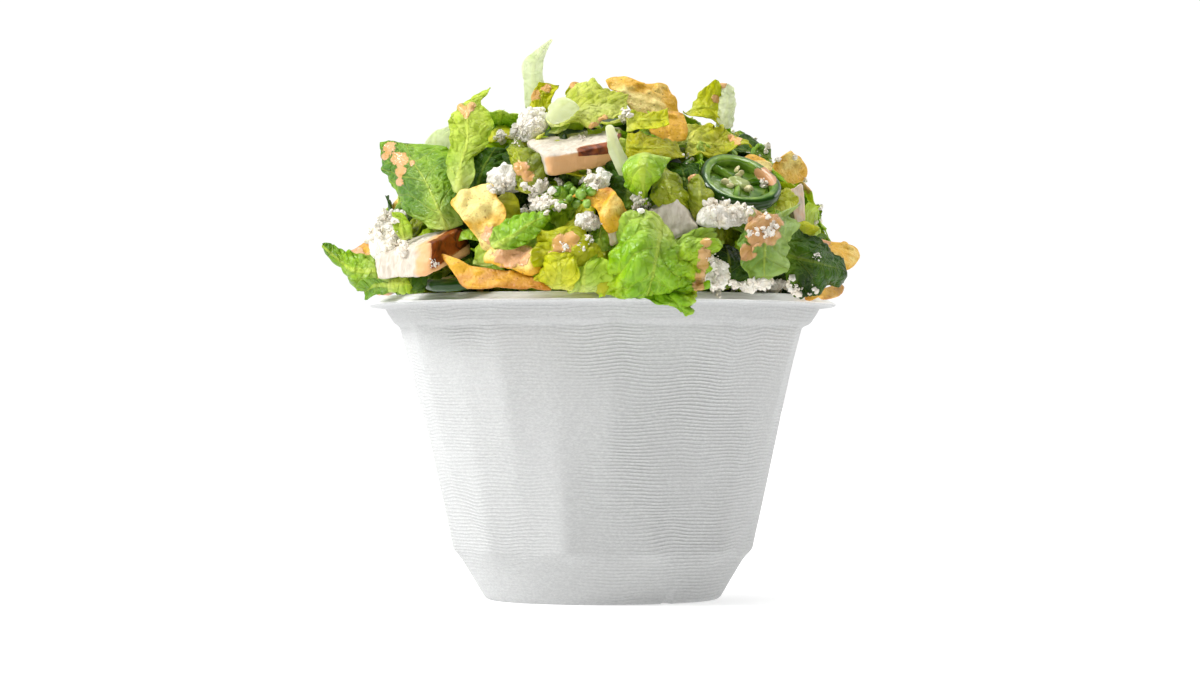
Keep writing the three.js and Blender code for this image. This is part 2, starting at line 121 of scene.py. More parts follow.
def noise(points, size, seed=0):
    """Uneven values from -1 to 1: random numbers at the corners of cubes of that size, blended
    smoothly between the corners."""
    place = np.asarray(points) / size + SEED_SHIFT * (seed + 1)
    cell = np.floor(place).astype(int)
    t = place - cell
    t = t * t * (3 - 2 * t)
    total = np.zeros(place.shape[:-1])
    for corner in np.ndindex(2, 2, 2):
        index = (cell + corner) % LATTICE_SIZE
        weight = np.prod(np.where(corner, t, 1 - t), axis=-1)
        total += weight * LATTICE[index[..., 0], index[..., 1], index[..., 2]]
    return total


def rough(points, size, seed=0, octaves=3):
    """Noise with finer noise on it, each layer half the size and half the height of the last."""
    return sum(noise(points, size / 2**k, seed + 5 * k) / 2**k for k in range(octaves))


def through(points, count, closed=False):
    """A Catmull-Rom curve through the points on the first axis: a cubic between each two points
    whose slope at a point is half the step between its neighbours."""
    points = np.asarray(points, float)
    last = len(points) if closed else len(points) - 1
    t = np.arange(count) * last / (count if closed else count - 1)
    i = np.minimum(t.astype(int), last - 1)
    f = (t - i).reshape((-1,) + (1,) * (points.ndim - 1))
    if closed:
        before, start, end, after = (points[(i + k) % len(points)] for k in (-1, 0, 1, 2))
    else:
        ends = np.stack([2 * points[0] - points[1], 2 * points[-1] - points[-2]])
        padded = np.concatenate([ends[:1], points, ends[1:]])
        before, start, end, after = (padded[i + k] for k in range(4))
    slope = (end - before) / 2
    bend = before - 2.5 * start + 2 * end - after / 2
    twist = 1.5 * (start - end) + (after - before) / 2
    return start + f * (slope + f * (bend + f * twist))


def unit(vectors):
    """Each vector made one long."""
    return vectors / np.maximum(np.linalg.norm(vectors, axis=-1, keepdims=True), 1e-9)


def around(azimuth, radius, height):
    """The place at an azimuth in degrees, a distance from the axis and a height."""
    a = np.radians(azimuth)
    parts = np.broadcast_arrays(radius * np.sin(a), -radius * np.cos(a), height)
    return np.stack(parts, -1).astype(float)


def lying(facing, tilt, turn):
    """The length, width and outward directions of a topping that faces an azimuth, tilted up, its
    length turned from level in its own plane."""
    f, e, w = np.radians([facing, tilt, turn])
    out = np.array([math.sin(f) * math.cos(e), -math.cos(f) * math.cos(e), math.sin(e)])
    right = np.array([math.cos(f), math.sin(f), 0.0])
    up = np.cross(out, right)
    lengthwise = right * math.cos(w) + up * math.sin(w)
    return lengthwise, np.cross(out, lengthwise), out


def colour(code):
    """A colour code such as 7f9a20 as linear red, green and blue."""
    parts = np.array([int(code[i : i + 2], 16) / 255 for i in (0, 2, 4)])
    linear = np.where(parts <= 0.04045, parts / 12.92, ((parts + 0.055) / 1.055) ** 2.4)
    return tuple(float(c) for c in linear)


# ---- closed surfaces ---------------------------------------------------------------------------
class Shape:
    """A closed surface: points, four-cornered and three-cornered faces turned outwards, and named
    values at the points for the material."""

    def __init__(self, points, quads, triangles=None, **values):
        self.points = np.asarray(points, float)
        self.quads = quads
        self.triangles = np.zeros((0, 3), int) if triangles is None else triangles
        self.values = values

    def normals(self):
        """At each point, the mean of the faces' directions round it, by their areas."""
        halves = [self.quads[:, [0, 1, 2]], self.quads[:, [0, 2, 3]], self.triangles]
        corners = np.vstack(halves)
        a, b, c = (self.points[corners[:, k]] for k in range(3))
        faces = np.cross(b - a, c - a)
        count = len(self.points)
        sums = [np.bincount(corners.ravel(), np.repeat(faces[:, k], 3), count) for k in range(3)]
        return unit(np.stack(sums, 1))

    def push(self, height):
        """Moves each point out along its normal by its height."""
        self.points = self.points + self.normals() * np.asarray(height)[..., None]
        return self


def grid_faces(rows, columns, wrap_rows=False, wrap_columns=False):
    """The quads of a grid of points, row by row, facing (along the row) x (to the next row)."""
    i = np.arange(rows if wrap_rows else rows - 1)[:, None]
    j = np.arange(columns if wrap_columns else columns - 1)[None, :]
    right, below = (j + 1) % columns, (i + 1) % rows
    corners = [i * columns + j, i * columns + right, below * columns + right, below * columns + j]
    return np.stack([np.broadcast_to(c, (i.size, j.size)) for c in corners], -1).reshape(-1, 4)


def sheet(front, back, **values):
    """A thin closed solid between two grids of points, joined round their edges."""
    rows, columns = front.shape[:2]
    count = rows * columns
    quads = grid_faces(rows, columns)
    index = np.arange(count).reshape(rows, columns)
    sides = [index[0], index[1:, -1], index[-1, -2::-1], index[-2:0:-1, 0]]
    loop = np.concatenate(sides)
    after = np.roll(loop, -1)
    edge = np.stack([loop, loop + count, after + count, after], -1)
    faces = np.vstack([quads, quads[:, ::-1] + count, edge])
    points = np.concatenate([front.reshape(-1, 3), back.reshape(-1, 3)])
    doubled = {key: np.concatenate([value.reshape((count,) + value.shape[2:])] * 2)
               for key, value in values.items()}
    return Shape(points, faces, **doubled)


def polar_faces(rings, columns):
    """The faces of a surface of rings between a first point and a last point."""
    quads = grid_faces(rings, columns, wrap_columns=True)[:, [0, 3, 2, 1]] + 1
    j = np.arange(columns)
    k = (j + 1) % columns
    first = np.stack([np.zeros_like(j), 1 + j, 1 + k], -1)
    base = 1 + (rings - 1) * columns
    last = np.stack([np.full_like(j, rings * columns + 1), base + k, base + j], -1)
    return quads, np.vstack([first, last])


def globe(rings, columns):
    """Directions over a ball, its poles first and last."""
    polar = (np.arange(rings) + 1) * np.pi / (rings + 1)
    turn = np.arange(columns) * 2 * np.pi / columns
    level = np.sin(polar)[:, None]
    parts = [level * np.cos(turn), level * np.sin(turn), np.cos(polar)[:, None] + 0 * turn]
    body = np.stack(parts, -1).reshape(-1, 3)
    return np.vstack([[0, 0, 1], body, [0, 0, -1]])


MADE = []


def piece(name, shapes, material, slot, *replaced, smooth_faces=True):
    """One mesh object of several closed shapes, riding on the object's one body, in place of the
    nodes that it replaces; its slot is not used. Its shapes are also kept in MADE, for small
    things to be laid on."""
    MADE.extend(shapes)
    offsets = np.cumsum([0] + [len(s.points) for s in shapes])
    quads = np.vstack([s.quads + o for s, o in zip(shapes, offsets)])
    triangles = np.vstack([s.triangles + o for s, o in zip(shapes, offsets)])
    points = np.vstack([s.points for s in shapes]) * MM
    corners = np.concatenate([quads.ravel(), triangles.ravel()]).astype(np.int32)
    sizes = np.repeat([4, 3], [len(quads), len(triangles)])
    mesh = bpy.data.meshes.new(name)
    mesh.vertices.add(len(points))
    mesh.vertices.foreach_set("co", points.astype(np.float32).ravel())
    mesh.loops.add(len(corners))
    mesh.loops.foreach_set("vertex_index", corners)
    mesh.polygons.add(len(sizes))
    mesh.polygons.foreach_set("loop_start", (np.cumsum(sizes) - sizes).astype(np.int32))
    mesh.polygons.foreach_set("use_smooth", np.full(len(sizes), smooth_faces))
    for key in shapes[0].values:
        value = np.concatenate([np.asarray(s.values[key], np.float32) for s in shapes])
        kind, field = ("FLOAT_VECTOR", "vector") if value.ndim == 2 else ("FLOAT", "value")
        mesh.attributes.new(key, kind, "POINT").data.foreach_set(field, value.ravel())
    mesh.update()
    mesh.materials.append(material)
    made = bpy.data.objects.new(name, mesh)
    bpy.context.scene.collection.objects.link(made)
    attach(made, "root")
    if replaced:
        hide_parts(*replaced)


# ---- materials ---------------------------------------------------------------------------------
class Signal:
    """A value that varies over a surface. Arithmetic on it adds Math nodes."""

    def __init__(self, look, socket):
        self.look = look
        self.socket = socket

    def maths(self, operation, *values):
        return self.look.node("ShaderNodeMath", {"operation": operation}, dict(enumerate(values)))

    def __add__(self, other):
        return self.maths("ADD", self, other)

    def __sub__(self, other):
        return self.maths("SUBTRACT", self, other)

    def __rsub__(self, other):
        return self.maths("SUBTRACT", other, self)

    def __mul__(self, other):
        return self.maths("MULTIPLY", self, other)

    def __abs__(self):
        return self.maths("ABSOLUTE", self)

    __radd__ = __add__
    __rmul__ = __mul__

    def fraction(self):
        return self.maths("FRACT", self)

    def most(self, other):
        return self.maths("MAXIMUM", self, other)

    def ramp(self, low, high):
        """0 at low and 1 at high, smooth between them."""
        sockets = {"Value": self, "From Min": low, "From Max": high}
        return self.look.node("ShaderNodeMapRange", {"interpolation_type": "SMOOTHSTEP"}, sockets)


class Look:
    """The node tree of one material or of the world."""

    def __init__(self, name, owners=bpy.data.materials):
        self.owner = owners.new(name)
        self.owner.use_nodes = True
        self.tree = self.owner.node_tree
        self.tree.nodes.clear()

    def node(self, kind, settings=None, sockets=None, out=0):
        """Adds a node: first its settings, then its sockets' values or links."""
        made = self.tree.nodes.new(kind)
        for key, value in (settings or {}).items():
            setattr(made, key, value)
        for key, value in (sockets or {}).items():
            if isinstance(value, Signal):
                self.tree.links.new(value.socket, made.inputs[key])
            elif isinstance(value, tuple) and len(value) == 3 and made.inputs[key].type == "RGBA":
                made.inputs[key].default_value = (*value, 1)
            else:
                made.inputs[key].default_value = value
        return Signal(self, made.outputs[out])

    def attribute(self, name, out="Fac"):
        """One of the named values at a shape's points."""
        return self.node("ShaderNodeAttribute", {"attribute_name": name}, out=out)

    def place(self, stretch=(1, 1, 1)):
        """Object coordinates in millimetres, each axis times its stretch."""
        place = self.node("ShaderNodeTexCoord", out="Object")
        scale = tuple(s / MM for s in stretch)
        return self.node("ShaderNodeVectorMath", {"operation": "MULTIPLY"}, {0: place, 1: scale})

    def noise(self, size, vector=None, detail=2.0, distortion=0.0):
        """Noise from 0 to 1 whose features are about that many millimetres."""
        sockets = {"Vector": vector or self.place(), "Scale": 1 / size, "Detail": detail}
        return self.node("ShaderNodeTexNoise", {}, {**sockets, "Distortion": distortion})

    def cells(self, size, vector=None, feature="F1"):
        """Distance to the middle or the edge of irregular cells of about that size."""
        sockets = {"Vector": vector or self.place(), "Scale": 1 / size}
        return self.node("ShaderNodeTexVoronoi", {"feature": feature}, sockets, "Distance")

    def mix(self, share, first, second, blend="MIX"):
        """A colour between two others."""
        settings = {"data_type": "RGBA", "blend_type": blend, "clamp_factor": True}
        return self.node("ShaderNodeMix", settings, {0: share, 6: first, 7: second}, out=2)

    def finish(self, base, roughness, height=None, glow=None, glow_share=0.0, **constants):
        """The output: a Principled shader with bumps of that height in millimetres, and where glow
        is a colour, light shining through in it."""
        sockets = {"Base Color": base, "Roughness": roughness, **constants}
        if height is not None:
            bump = {"Strength": 1.0, "Distance": MM, "Height": height}
            sockets["Normal"] = self.node("ShaderNodeBump", {}, bump)
        shader = self.node("ShaderNodeBsdfPrincipled", {}, sockets)
        if glow is not None:
            through_it = self.node("ShaderNodeBsdfTranslucent", {}, {"Color": glow})
            shader = self.node("ShaderNodeMixShader", {}, {0: glow_share, 1: shader, 2: through_it})
        return self.end("ShaderNodeOutputMaterial", shader)

    def end(self, kind, shader):
        """Ends the tree in an output of that kind, and gives back the material or world."""
        output = self.tree.nodes.new(kind)
        self.tree.links.new(shader.socket, output.inputs["Surface"])
        return self.owner


DRESSING = colour("e0a478")
DRESSING_THIN = colour("d49a5c")
MESH_LINE_STEP = 1.25
# Where painted light whitens the lip, and where a painted shadow darkens the band under the flange,
# with that shadow's colour.
PAINTED_LIP_LIGHT = (109.3, 109.7)
PAINTED_FLANGE_SHADOW = {"top": (109.0, 108.4), "foot": (96.0, 104.0), "shade": (0.84, 0.84, 0.84)}


def fibre_look():
    """Moulded pulp: a matte white with faint fibres, and the fine wavy lines of the wire mesh that
    the pulp was drawn onto, with a painted shadow under the flange and painted light that
    whitens the lip."""
    look = Look("moulded_fibre")
    place = look.place()
    drift = look.noise(22, detail=1.0)
    level = look.node("ShaderNodeSeparateXYZ", {}, {0: place}, out="Z")
    wave = (level * (1 / MESH_LINE_STEP) + drift * 3.2).fraction()
    line = abs(wave - 0.5).ramp(0.12, 0.5)
    strength = look.noise(30, detail=0.0).ramp(0.3, 0.7)
    fibres = look.noise(1.1, look.place((1, 1, 2.2)), detail=4.0, distortion=0.8)
    pits = look.cells(2.3).ramp(0.0, 0.35)
    height = line * (0.05 + 0.10 * strength) + fibres * 0.07 + pits * 0.015
    shade = look.mix(fibres.ramp(0.3, 0.75), colour("c2c3c3"), colour("d4d5d4"))
    shade = look.mix(look.noise(14, detail=3.0).ramp(0.35, 0.8) * 0.25, shade, colour("c8c8c8"))
    # Painted shadow: the band under the flange is darkened in the colour, for the flange's shadow.
    painted_flange_shadow = level.ramp(*PAINTED_FLANGE_SHADOW["top"]) * level.ramp(*PAINTED_FLANGE_SHADOW["foot"])
    shade = look.mix(painted_flange_shadow, shade, PAINTED_FLANGE_SHADOW["shade"], "MULTIPLY")
    # Painted light: the lip's colour is whitened so that it looks lit where the heap shades it.
    shade = look.mix(level.ramp(*PAINTED_LIP_LIGHT), shade, colour("eeeeec"))
    return look.finish(shade, 0.82, height)


NET_SHADE = (0.72, 0.8, 0.36)
MOTTLE_SHADE = (0.58, 0.7, 0.26)


def leaf_look(name, glow, glow_share, roughness, vein_share, shine):
    """A torn leaf: its own tint, paler midrib and side veins, nets of veins with puffed cells
    between them, and the dressing that lies on it in films and streaks with broken edges."""
    look = Look(name)
    blade = look.attribute("blade", "Vector")
    tint = look.attribute("tint", "Color")
    sauce = look.attribute("sauce")
    rib = abs(look.attribute("rib")).ramp(1.1, 0.5)
    branch = abs(look.attribute("branch").fraction() - 0.5).ramp(0.45, 0.495)
    wander = look.node("ShaderNodeTexNoise", {},
                       {"Vector": blade, "Scale": 0.2, "Detail": 2.0}, "Color")
    bent = look.node("ShaderNodeVectorMath", {"operation": "MULTIPLY_ADD"},
                     {0: wander, 1: (4.0, 4.0, 4.0), 2: blade})
    net = look.cells(4.4, bent, "DISTANCE_TO_EDGE")
    fine = look.cells(1.7, bent, "DISTANCE_TO_EDGE")
    mottle = look.noise(6, bent, detail=4.0)
    base = look.mix(net.ramp(0.04, 0.34) * 0.6, tint, NET_SHADE, "MULTIPLY")
    base = look.mix(mottle.ramp(0.4, 0.72) * 0.5, base, MOTTLE_SHADE, "MULTIPLY")
    vein = rib.most(branch * 0.8).most(net.ramp(0.05, 0.0) * 0.36).most(fine.ramp(0.08, 0.0) * 0.1)
    light = look.mix(vein_share, tint, colour("e2ee58"))
    base = look.mix(vein * 0.85, base, light)
    ragged = look.noise(3.2, detail=4.0, distortion=0.6)
    covered = (sauce + (ragged - 0.5) * 1.5).ramp(0.52, 0.66)
    cream = look.mix(look.noise(4, detail=3.0).ramp(0.35, 0.65), DRESSING, DRESSING_THIN)
    base = look.mix(covered * 0.85, base, cream)
    crinkle = look.noise(1.6, bent, detail=3.0)
    puff = net.ramp(0.0, 0.42) * 0.9 + fine.ramp(0.0, 0.3) * 0.16
    height = puff + crinkle * 0.5 + branch * -0.2 + rib * 0.25
    height = height * (1 - 0.8 * covered) + covered * 0.45 + look.noise(2.2) * covered * 0.35
    roughness = roughness + mottle * 0.14 - covered * 0.1
    share = glow_share * (1 - covered)
    return look.finish(base, roughness, height, glow, share, **{"Specular IOR Level": shine})


def core_look():
    """The shaded leaves deep in the heap."""
    look = Look("shaded_leaves")
    base = look.mix(look.noise(9, detail=3.0).ramp(0.35, 0.7), colour("1a2a08"), colour("3f5a14"))
    return look.finish(base, 0.6, look.noise(4) * 0.6)


def chip_look():
    """Fried corn: pale to golden, orange-brown where it is toasted, with dark specks, a grainy
    blistered skin, and dressing in places."""
    look = Look("fried_chip")
    toast = look.attribute("toast")
    sauce = look.attribute("sauce")
    patch = look.noise(6.0, detail=5.0)
    tone = toast + (patch - 0.5) * 0.9
    base = look.mix(tone.ramp(-0.05, 0.42), colour("f4e088"), colour("e6b022"))
    base = look.mix(tone.ramp(0.5, 1.05), base, colour("b87606"))
    grain = look.noise(0.7, detail=4.0)
    base = look.mix(grain.ramp(0.5, 0.75) * 0.45, base, colour("c07a1c"))
    freckle = look.noise(1.5, detail=2.0).ramp(0.62, 0.7)
    base = look.mix(freckle * 0.4, base, colour("a85a14"))
    speck = look.cells(2.2).ramp(0.16, 0.07) * look.noise(5).ramp(0.46, 0.58)
    base = look.mix(speck * 0.85, base, colour("5a2c0a"))
    covered = (sauce + (look.noise(2.6, detail=4.0) - 0.5) * 1.3).ramp(0.5, 0.64)
    base = look.mix(covered * 0.85, base, DRESSING)
    pits = look.cells(1.6).ramp(0.0, 0.5)
    height = grain * 0.22 + look.noise(2.6, detail=3.0) * 0.5 + pits * 0.12 + covered * 0.3
    return look.finish(base, 0.5 - covered * 0.2, height)


def chicken_look():
    """Grilled breast: white cut meat with pink in it and short fibres, and a red-brown to black
    seared skin."""
    look = Look("grilled_chicken")
    sear = look.attribute("sear")
    pink = look.attribute("pink")
    fibre = look.noise(1.5, look.place((1.0, 1.0, 0.35)), detail=4.0, distortion=0.6)
    base = look.mix(fibre.ramp(0.3, 0.75), colour("c6baa8"), colour("e2dacb"))
    blush = (pink + (look.noise(3, detail=3.0) - 0.5) * 0.8).ramp(0.3, 1.0)
    base = look.mix(blush, base, colour("e8b27a"))
    burnt = look.noise(5.0, detail=5.0, distortion=1.0)
    seared = (sear + (look.noise(1.6, detail=3.0) - 0.5) * 0.5).ramp(0.42, 0.58)
    skin = look.mix(burnt.ramp(0.3, 0.62), colour("3c1505"), colour("96480f"))
    skin = look.mix(burnt.ramp(0.6, 0.75) * 0.7, skin, colour("c88544"))
    base = look.mix(seared, base, skin)
    warm = (sear + (look.noise(3.0) - 0.5) * 0.3).ramp(0.2, 0.42) * 0.6 * (1 - seared)
    base = look.mix(warm, base, colour("c98d55"))
    pepper = look.cells(3.1).ramp(0.1, 0.05) * look.noise(8).ramp(0.52, 0.6)
    base = look.mix(pepper * 0.7, base, colour("3a3028"))
    height = fibre * 0.3 + burnt * seared * 0.4
    return look.finish(base, 0.48 - seared * 0.08, height, **{"Specular IOR Level": 0.35})


def pepper_look():
    """Pepper: a dark glossy skin, and wet paler flesh that lets light through."""
    look = Look("green_pepper")
    skin = look.attribute("skin")
    kernel = look.attribute("kernel")
    base = look.mix(look.noise(4, detail=2.0).ramp(0.3, 0.7), colour("4c7a0c"), colour("88aa38"))
    base = look.mix(skin.ramp(0.25, 0.7), base, colour("2f5e0e"))
    base = look.mix(skin.ramp(0.7, 1.0), base, colour("1d4307"))
    base = look.mix(kernel, base, colour("e3d9a2"))
    covered = (look.attribute("sauce") + (look.noise(2.4, detail=3.0) - 0.5)).ramp(0.5, 0.64)
    base = look.mix(covered * 0.9, base, DRESSING)
    return look.finish(base, 0.2, look.noise(2.2) * 0.2 + covered * 0.3, colour("9dbb3c"), 0.16)


def cheese_look():
    """Crumbled white cheese: chalky grains with a creamy tone in patches."""
    look = Look("white_cheese")
    grain = look.cells(0.9)
    crumb = look.noise(1.2, detail=5.0)
    tone = look.noise(4.5, detail=3.0).ramp(0.45, 0.78)
    base = look.mix(tone * 0.55, colour("fdfaf0"), colour("efe3c0"))
    base = look.mix(look.attribute("stain"), base, colour("dc9a58"))
    height = crumb * 0.45 - grain * 0.2
    return look.finish(base, 0.6, height, colour("fff6e2"), 0.12)


def seed_look():
    """Small glossy green beads."""
    look = Look("green_seed")
    base = look.mix(look.noise(3).ramp(0.35, 0.65), colour("5f8f1e"), colour("a3c95a"))
    return look.finish(base, 0.25, look.noise(1.5) * 0.15)


# ---- the cup -----------------------------------------------------------------------------------
FACETS = 11
CORNER_STEP = 360 / FACETS
FIRST_TOP_CORNER = 2.5
FACET_FOOT = (56.6, 18.7)
FACET_HEAD = (77.2, 101.9)
WALL = 2.0
RIM_RADIUS = 87.5
CUP_HEIGHT = 112.7
FOOT_RADIUS = 44.2
RECESS = (32.0, 2.4)
NOTCH = {"azimuth": 33, "wide": 4.6, "high": 2.1}
CUP_COLUMNS = 44 * 9
EDGE_SOFTNESS = 0.42
RING_STEP = 5.0
ARC_STEPS = (0.25, 0.5, 0.75, 1.0)


def facet_radius(azimuth, height):
    """How far out the faceted wall is: the least of the facets' planes, each its reach divided by
    the cosine to its direction, blended where two are alike so that the edges are soft."""
    half = math.cos(math.radians(CORNER_STEP / 2))
    rise = FACET_HEAD[1] - FACET_FOOT[1]
    upper = FIRST_TOP_CORNER + CORNER_STEP * np.arange(FACETS)
    kinds = [
        (upper + CORNER_STEP / 2, FACET_FOOT[0], (FACET_HEAD[0] * half - FACET_FOOT[0]) / rise),
        (upper, FACET_FOOT[0] * half, (FACET_HEAD[0] - FACET_FOOT[0] * half) / rise),
    ]
    total = 0.0
    for directions, reach, slope in kinds:
        turn = np.cos(np.radians(azimuth[..., None] - directions))
        plane = (reach + slope * (height[..., None] - FACET_FOOT[1])) / np.maximum(turn, 0.5)
        total = total + np.exp(-plane / EDGE_SOFTNESS).sum(-1)
    return -EDGE_SOFTNESS * np.log(total)


# The cup's section as radius, height, whether its facets cut it and by how much it lies inside
# them, and how far from the corner its rounding starts.
CUP_SECTION = [
    (RECESS[0], RECESS[1], None, 1.0),
    (RECESS[0] + 2, 0.0, None, 0.8),
    (FOOT_RADIUS - 1.2, 0.0, None, 0.8),
    (FOOT_RADIUS, 1.0, None, 0.6),
    (52.7, 15.0, 0.0, 1.9),
    (RIM_RADIUS, FACET_FOOT[1], 0.0, 1.2),
    (RIM_RADIUS, FACET_HEAD[1] - 0.6, 0.0, 1.0),
    (FACET_HEAD[0] + 0.5, FACET_HEAD[1] + 0.8, None, 0.8),
    (80.2, 106.4, None, 0.8),
    (81.2, 108.3, None, 0.6),
    (RIM_RADIUS - 0.6, 109.0, None, 0.3),
    (RIM_RADIUS, 109.8, None, 0.4),
    (82.4, 112.5, None, 0.8),
    (78.4, CUP_HEIGHT, None, 1.2),
    (76.2, 112.2, None, 0.8),
    (75.6, 110.6, None, 0.8),
    (RIM_RADIUS, FACET_HEAD[1], WALL, 1.5),
    (RIM_RADIUS, FACET_FOOT[1], WALL, 3.0),
    (43.5, 6.2, None, 2.0),
    (40.0, 4.5, None, 1.5),
]


def make_cup(material):
    """The section carried round the axis. Each of its corners is rounded by a quadratic arc, and
    long runs between the arcs are divided evenly. Two notches are pressed into the foot ring."""
    azimuth = np.arange(CUP_COLUMNS) * 360 / CUP_COLUMNS
    corners = []
    for r, z, inset, _ in CUP_SECTION:
        height = np.full(CUP_COLUMNS, z)
        radius = np.full(CUP_COLUMNS, float(r))
        if inset is not None:
            radius = np.minimum(radius, facet_radius(azimuth, height) - inset)
        corners.append(around(azimuth, radius, height))
    rings = [corners[0]]
    for k in range(1, len(corners) - 1):
        before, corner, after = corners[k - 1 : k + 2]
        cut = CUP_SECTION[k][3]
        start = corner + unit(before - corner) * cut
        end = corner + unit(after - corner) * cut
        run = np.linalg.norm(start - rings[-1], axis=-1).mean()
        steps = max(int(run / RING_STEP), 1)
        rings += [rings[-1] + (start - rings[-1]) * s / steps for s in range(1, steps + 1)]
        for t in ARC_STEPS:
            rings.append(start * (1 - t) ** 2 + corner * 2 * t * (1 - t) + end * t * t)
    rings.append(corners[-1])
    body = np.stack(rings)
    quads, triangles = polar_faces(len(rings), CUP_COLUMNS)
    under, inside = [0, 0, RECESS[1]], [0, 0, CUP_SECTION[-1][1]]
    points = np.vstack([[under], body.reshape(-1, 3), [inside]])
    cup = Shape(points, quads[:, ::-1], triangles[:, ::-1])
    radius = np.hypot(points[:, 0], points[:, 1])
    turned = np.degrees(np.arctan2(points[:, 0], -points[:, 1]))
    for middle_azimuth in (NOTCH["azimuth"], NOTCH["azimuth"] - 180):
        aside = np.radians(turned - middle_azimuth) * radius
        arch = NOTCH["high"] * np.sqrt(np.clip(1 - (2 * aside / NOTCH["wide"]) ** 2, 0, 1))
        at_foot = (radius > RECESS[0] - 1) & (radius < FOOT_RADIUS + 2)
        cup.points[:, 2] = np.where(at_foot, np.maximum(points[:, 2], arch), points[:, 2])
    cup.push(np.where(points[:, 2] > 3, 0.12 * noise(points, 16) + 0.05 * noise(points, 6), 0))
    piece("moulded_cup", [cup], material, "moulded_fibre", "cup")


# ---- the heap's outline ------------------------------------------------------------------------
HEAP_OUTLINE = [(112.5, 78), (117, 83), (124, 87), (132, 87), (144, 83), (154, 76),
                (163, 68), (172, 57), (180, 44), (186, 28), (189, 12), (190, 1)]
HEAP_TOP = 190.0
BACK = (76, 284)
RIM_CLEAR = (75.0, 88.4)
RIM_SLOPE = ((82.0, 113.1), (87.5, 110.2))


def heap_radius(height):
    """How far out the heap's outline, HEAP_OUTLINE's heights and radii, is at a height."""
    heights, radii = zip(*HEAP_OUTLINE)
    return np.interp(height, heights, radii)


def on_heap(azimuth, height, lift):
    """A place a lift outside the heap's outline, and the outline's outward direction there."""
    slope = (heap_radius(height + 3) - heap_radius(height - 3)) / 6
    out = unit(around(azimuth, 1.0, -slope))
    return around(azimuth, heap_radius(height), height) + out * lift, out


def clear_of_rim(points):
    """Lifts what would lie in the cup's rim onto its sloping top."""
    radius = np.hypot(points[..., 0], points[..., 1])
    inner, outer = RIM_CLEAR
    over = smooth(inner - 3, inner, radius) * smooth(outer + 1.2, outer, radius)
    level = np.interp(radius, *zip(*RIM_SLOPE))
    low = np.maximum(level - points[..., 2], 0) * over * (points[..., 2] > level - 9)
    lifted = points.copy()
    lifted[..., 2] += low
    return lifted


# ---- leaves ------------------------------------------------------------------------------------
# Each kind's finish, and the colours of its blade, its darker parts and its ribs.
LEAF_KINDS = {
    "pale": ("pale", "dcf058", "b8dc2c", "f6fcb4"),
    "heart": ("pale", "f0ec1c", "ccc800", "fcfa90"),
    "sage": ("pale", "b0d080", "70a040", "dcecbc"),
    # ghost is near white: the own colour of pale ribs, and on the sprig and the pale leaf behind on
    # the left also painted backlight and a painted highlight.
    "ghost": ("ghost", "fcffe8", "f4fad4", "fffff4"),
    "cream": ("pale", "ecf078", "d6dc3c", "fafad0"),
    "amber": ("pale", "dcd400", "b0a800", "ece420"),
    "romaine": ("bright", "a6cc08", "5c9800", "e0f070"),
    "bright": ("bright", "d2f020", "94cc04", "f0fa90"),
    "mid": ("bright", "98c408", "508a00", "d8ea78"),
    "olive": ("bright", "b4bc04", "7c8800", "e6e460"),
    "dark": ("dark", "305800", "122e00", "769c28"),
    "deep": ("dark", "26460a", "112a04", "5a7c2c"),
}
VEIN_SLANT = 0.85
DRESSING_DEPTH = 0.35


def dressing_on(points, spots):
    """How far dressing spots, each a pixel with a radius in pixels, cover points: 1 in a spot's
    middle, and falling slowly so that the finish can break its edge up."""
    shown = pixels_of(points)
    spread = np.zeros(shown.shape[:-1])
    for x, y, r in spots:
        reach = np.hypot(shown[..., 0] - x, shown[..., 1] - y) / r
        spread = np.maximum(spread, smooth(1.9, 0.3, reach))
    return spread


def cross_of(points):
    """The direction square to a grid: (along the row) x (to the next row)."""
    along = np.gradient(points, axis=1)
    down = np.gradient(points, axis=0)
    return unit(np.cross(along, down))


